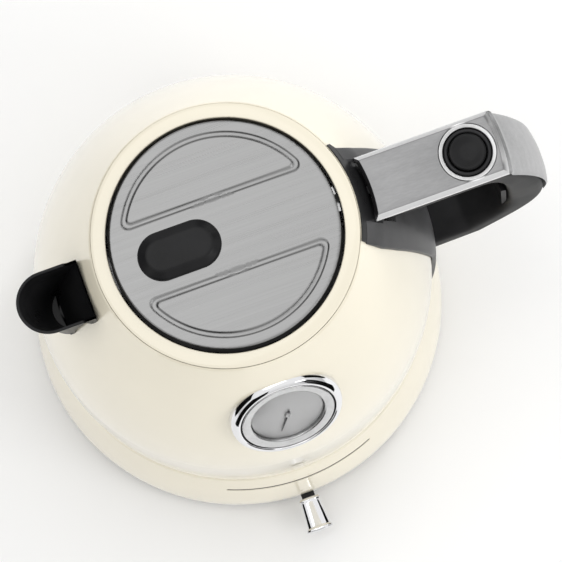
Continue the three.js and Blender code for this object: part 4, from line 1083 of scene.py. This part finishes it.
class KETTLE_OT_button(bpy.types.Operator):
    """Build the release button with its ring and dish"""

    bl_idname = "kettle.button"
    bl_label = "Release button"

    def execute(self, context):
        at = translation(BUTTON_X)
        dish = rounded([
            (12.8, 204.3), (14.0, 204.3), (14.95, 206.6), (15.0, 208.0), (14.6, 208.3), (13.0, 207.9),
            (12.75, 207.5),
        ], [0.2, 0.3, 0.4, 0.15, 0.3, 0.3, 0.2], 6)
        piece("dish", [ring(dish, 128, at)], "jug", FINISH["dish"], ("button_dish",))
        seat = rounded([
            (10.15, 204.1), (12.35, 204.1), (12.35, 207.2), (11.9, 208.2), (11.0, 208.4), (10.4, 208.0),
            (10.15, 207.2),
        ], [0.2, 0.2, 0.5, 0.4, 0.3, 0.3, 0.3], 6)
        piece("ring", [ring(seat, 128, at)], "jug", FINISH["gloss"], ("button_ring",))
        under = PLATE_TOP - 2.8
        cap = rounded([
            (0, 208.65), (4.5, 208.85), (7.8, 209.55), (9.0, 209.7), (9.65, 209.0), (9.65, under),
            (2, under), (2, 196.7), (0, 196.7),
        ], [0.1, 1.2, 0.9, 0.5, 0.5, 0.2, 0.1, 0.1, 0.1], 6, closed=False)
        piece("button_cap", [disc(cap, 96, at), self.cam(under)], "button", FINISH["black"],
              ("release_button",))
        return {"FINISHED"}

    def cam(self, under):
        """The leaning bar under the cap: a small rectangle carried down at 45 degrees."""
        fall = np.linspace(0, under + 0.2 - ROD_TOP, 8)[:, None]
        c, s = superellipse(16, 0.25)
        x = BUTTON_X - 7 + 0.9 * c[None, :] - fall
        y = np.broadcast_to(1.4 * s[None, :], x.shape)
        z = np.broadcast_to(under + 0.2 - fall, x.shape)
        return capped(np.stack([x, y, z], axis=2))


class KETTLE_OT_lever(bpy.types.Operator):
    """Build the temperature lever's knob"""

    bl_idname = "kettle.lever"
    bl_label = "Lever knob"

    def execute(self, context):
        far, near = -low("lever_knob")[1], -high("lever_knob")[1]
        line = rounded(
            [(near, 0), (near, 5.2), (near + 1.2, 5.9), (near + 2.2, 5.2), (far - 2.6, 6.3),
             (far - 1.7, 7.2), (far - 0.7, 7.2), (far, 5.6), (far, 0)],
            [0.1, 0.3, 0.5, 0.5, 0.3, 0.3, 0.3, 0.3, 0.1], 6, closed=False,
        )
        turn = np.arange(144) * TAU / 144
        rise = smooth_step(line[:, 0], near + 2.2, near + 3.4)
        flute = rise * smooth_step(-line[:, 0], 3.4 - far, 4.6 - far)
        reach = line[:, 1:] * (1 - 0.07 * flute[:, None] * (1 - np.abs(np.cos(4 * turn)) ** 0.7)[None, :])
        grid = np.stack([
            reach * np.cos(turn), -np.repeat(line[:, :1], 144, axis=1),
            LEVER_Z + reach * np.sin(turn) * 0.48,
        ], axis=2)
        piece("lever_tab", [capped(grid)], "lever", FINISH["chrome"], ("lever_knob",))
        return {"FINISHED"}


class KETTLE_OT_details(bpy.types.Operator):
    """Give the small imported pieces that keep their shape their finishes"""

    bl_idname = "kettle.details"
    bl_label = "Small pieces"

    kept = {
        "black": ("release_rod", "base_bottom", "base_deck", "base_connector", "lever_arm", "lever_neck",
                  "jug_connector",
                  "jug_base_cover", "gauge_housing", "lid_liner"),
        "rubber": ("cord_gland", "lid_gasket", "foot_1", "foot_2", "foot_3", "foot_4"),
        "fasteners": ("base_screw_1", "base_screw_2", "base_screw_3", "hinge_pin", "hinge_bracket",
                      "button_spring"),
        "vessel": ("heater_plate", "limescale_filter"),
        "grip": ("grip_pad",),
        "board": ("control_board",),
    }

    def execute(self, context):
        for look, nodes in self.kept.items():
            for node in nodes:
                made = frame["nodes"][node]
                made.data.materials.clear()
                made.data.materials.append(FINISH[look])
        return {"FINISHED"}


# ---------------------------------------------------------------- studio


def softbox(name, place, size, power, target, colour=(1, 1, 1)):
    """A rectangular area light that faces the target and that the camera doesn't see."""
    data = bpy.data.lights.new(name, "AREA")
    data.shape = "RECTANGLE"
    data.size, data.size_y = size
    data.energy = power
    data.color = colour
    lamp = bpy.data.objects.new(name, data)
    lamp.location = place
    lamp.rotation_euler = (Vector(target) - Vector(place)).to_track_quat("-Z", "Y").to_euler()
    lamp.visible_camera = False
    bpy.context.scene.collection.objects.link(lamp)


class KETTLE_OT_studio(bpy.types.Operator):
    """Build the floor, the lights, the room and the camera"""

    bl_idname = "kettle.studio"
    bl_label = "Studio"

    def execute(self, context):
        studio = context.scene.kettle_studio
        context.scene.view_settings.view_transform = "Standard"
        self.floor()
        self.room(studio.sky)
        middle = (0.02, 0, 0.12)
        softbox("key_light", (-0.2, 0.4, 2.3), (1.6, 1.2), studio.key, middle)
        softbox("strip_light", (1.3, 0.95, 0.75), (0.35, 1.1), studio.fill, middle)
        softbox("side_light", (1.3, -1.3, 1.1), (0.8, 1.2), studio.fill * 1.1, middle)
        self.flags()
        self.camera(studio)
        return {"FINISHED"}

    def flags(self):
        """Black cloths hung round the set; only polished metal shows them."""
        for index, (start, stop) in enumerate(((0.1, 1.25), (1.9, 3.3), (3.75, 4.5), (5.2, 5.9))):
            a = np.linspace(start, stop, 24)
            foot = np.stack([1.5 * np.cos(a), 1.5 * np.sin(a)], axis=1) / MM
            rows = ((0.35, 2), (1, 60), (0.9, 1150))
            grid = np.array([np.column_stack([foot * k, np.full(24, z)]) for k, z in rows])
            name = "flag_" + str(index + 1)
            cloth = bpy.data.objects.new(name, make_mesh(name, [(grid, False, False)]))
            n = Nodes(name)
            n.set(Base_Color=(0.004, 0.004, 0.004, 1), Roughness=1.0, Specular_IOR_Level=0.0)
            cloth.data.materials.append(n.material)
            bpy.context.scene.collection.objects.link(cloth)
            cloth.visible_camera = False
            cloth.visible_diffuse = False
            cloth.visible_shadow = False

    def floor(self):
        grid = np.array([[[-4000, -4000, 0], [4000, -4000, 0]], [[-4000, 4000, 0], [4000, 4000, 0]]], float)
        plane = bpy.data.objects.new("studio_floor", make_mesh("studio_floor", [(grid, False, False)]))
        n = Nodes("floor")
        n.set(Base_Color=(0.9, 0.9, 0.9, 1), Roughness=0.6)
        plane.data.materials.append(n.material)
        bpy.context.scene.collection.objects.link(plane)

    def room(self, strength):
        """A room whose light is brightest overhead and falls off towards the horizon."""
        world = bpy.data.worlds.new("room")
        world.use_nodes = True
        bpy.context.scene.world = world
        tree = world.node_tree
        source = tree.nodes.new("ShaderNodeTexCoord")
        split = tree.nodes.new("ShaderNodeSeparateXYZ")
        ramp = tree.nodes.new("ShaderNodeValToRGB")
        ramp.color_ramp.elements[0].position = 0.05
        ramp.color_ramp.elements[0].color = (0.6, 0.6, 0.6, 1)
        ramp.color_ramp.elements[1].position = 0.75
        ramp.color_ramp.elements[1].color = (1, 1, 1, 1)
        tree.links.new(source.outputs["Generated"], split.inputs[0])
        tree.links.new(split.outputs["Z"], ramp.inputs["Fac"])
        back = tree.nodes["Background"]
        back.inputs["Strength"].default_value = strength
        tree.links.new(ramp.outputs["Color"], back.inputs["Color"])

    def camera(self, studio):
        """A long lens above the kettle, turned about its own axis."""
        right = Vector((0.9411, -0.3368, -0.0313))
        up = Vector((0.3368, 0.9251, 0.1778))
        back = Vector((-0.0309, -0.1778, 0.984))
        data = bpy.data.cameras.new("camera")
        data.lens = studio.focal
        data.sensor_width = 36
        data.clip_end = 100
        eye = bpy.data.objects.new("camera", data)
        matrix = Matrix((right, up, back)).transposed().to_4x4()
        target = Vector((18.9, -31.9, LID_TOP - 5.2)) * MM
        matrix.translation = target + back * studio.distance
        eye.matrix_world = matrix
        bpy.context.scene.collection.objects.link(eye)
        bpy.context.scene.camera = eye


# ---------------------------------------------------------------- add-on


OPERATORS = (
    KETTLE_OT_studio, KETTLE_OT_shell, KETTLE_OT_collar, KETTLE_OT_skirt, KETTLE_OT_vessel, KETTLE_OT_lid,
    KETTLE_OT_pad, KETTLE_OT_spout, KETTLE_OT_gauge, KETTLE_OT_handle_plate, KETTLE_OT_handle_skin,
    KETTLE_OT_grip, KETTLE_OT_saddle, KETTLE_OT_button, KETTLE_OT_lever, KETTLE_OT_details,
)
SETTINGS = {
    "kettle_form": KettleForm, "kettle_lid": LidForm, "kettle_finishes": Finishes,
    "kettle_studio": StudioSetup,
}


class KETTLE_PT_panel(bpy.types.Panel):
    """Lists what the add-on builds"""

    bl_label = "Kettle"
    bl_idname = "KETTLE_PT_panel"
    bl_space_type = "VIEW_3D"
    bl_region_type = "UI"
    bl_category = "Kettle"

    def draw(self, context):
        for operator in OPERATORS:
            self.layout.operator(operator.bl_idname)
        for settings in SETTINGS:
            group = getattr(context.scene, settings)
            for key in group.bl_rna.properties.keys():
                if key not in {"rna_type", "name"}:
                    self.layout.prop(group, key)


def register():
    for group in SETTINGS.values():
        bpy.utils.register_class(group)
    for name, group in SETTINGS.items():
        setattr(bpy.types.Scene, name, PointerProperty(type=group))
    for shown in (*OPERATORS, KETTLE_PT_panel):
        bpy.utils.register_class(shown)


def unregister():
    for shown in (KETTLE_PT_panel, *reversed(OPERATORS)):
        bpy.utils.unregister_class(shown)
    for name, group in SETTINGS.items():
        delattr(bpy.types.Scene, name)
        bpy.utils.unregister_class(group)


def main():
    register()
    finishes()
    for operator in OPERATORS:
        group, name = operator.bl_idname.split(".")
        getattr(getattr(bpy.ops, group), name)()


if __name__ == "__main__":
    main()
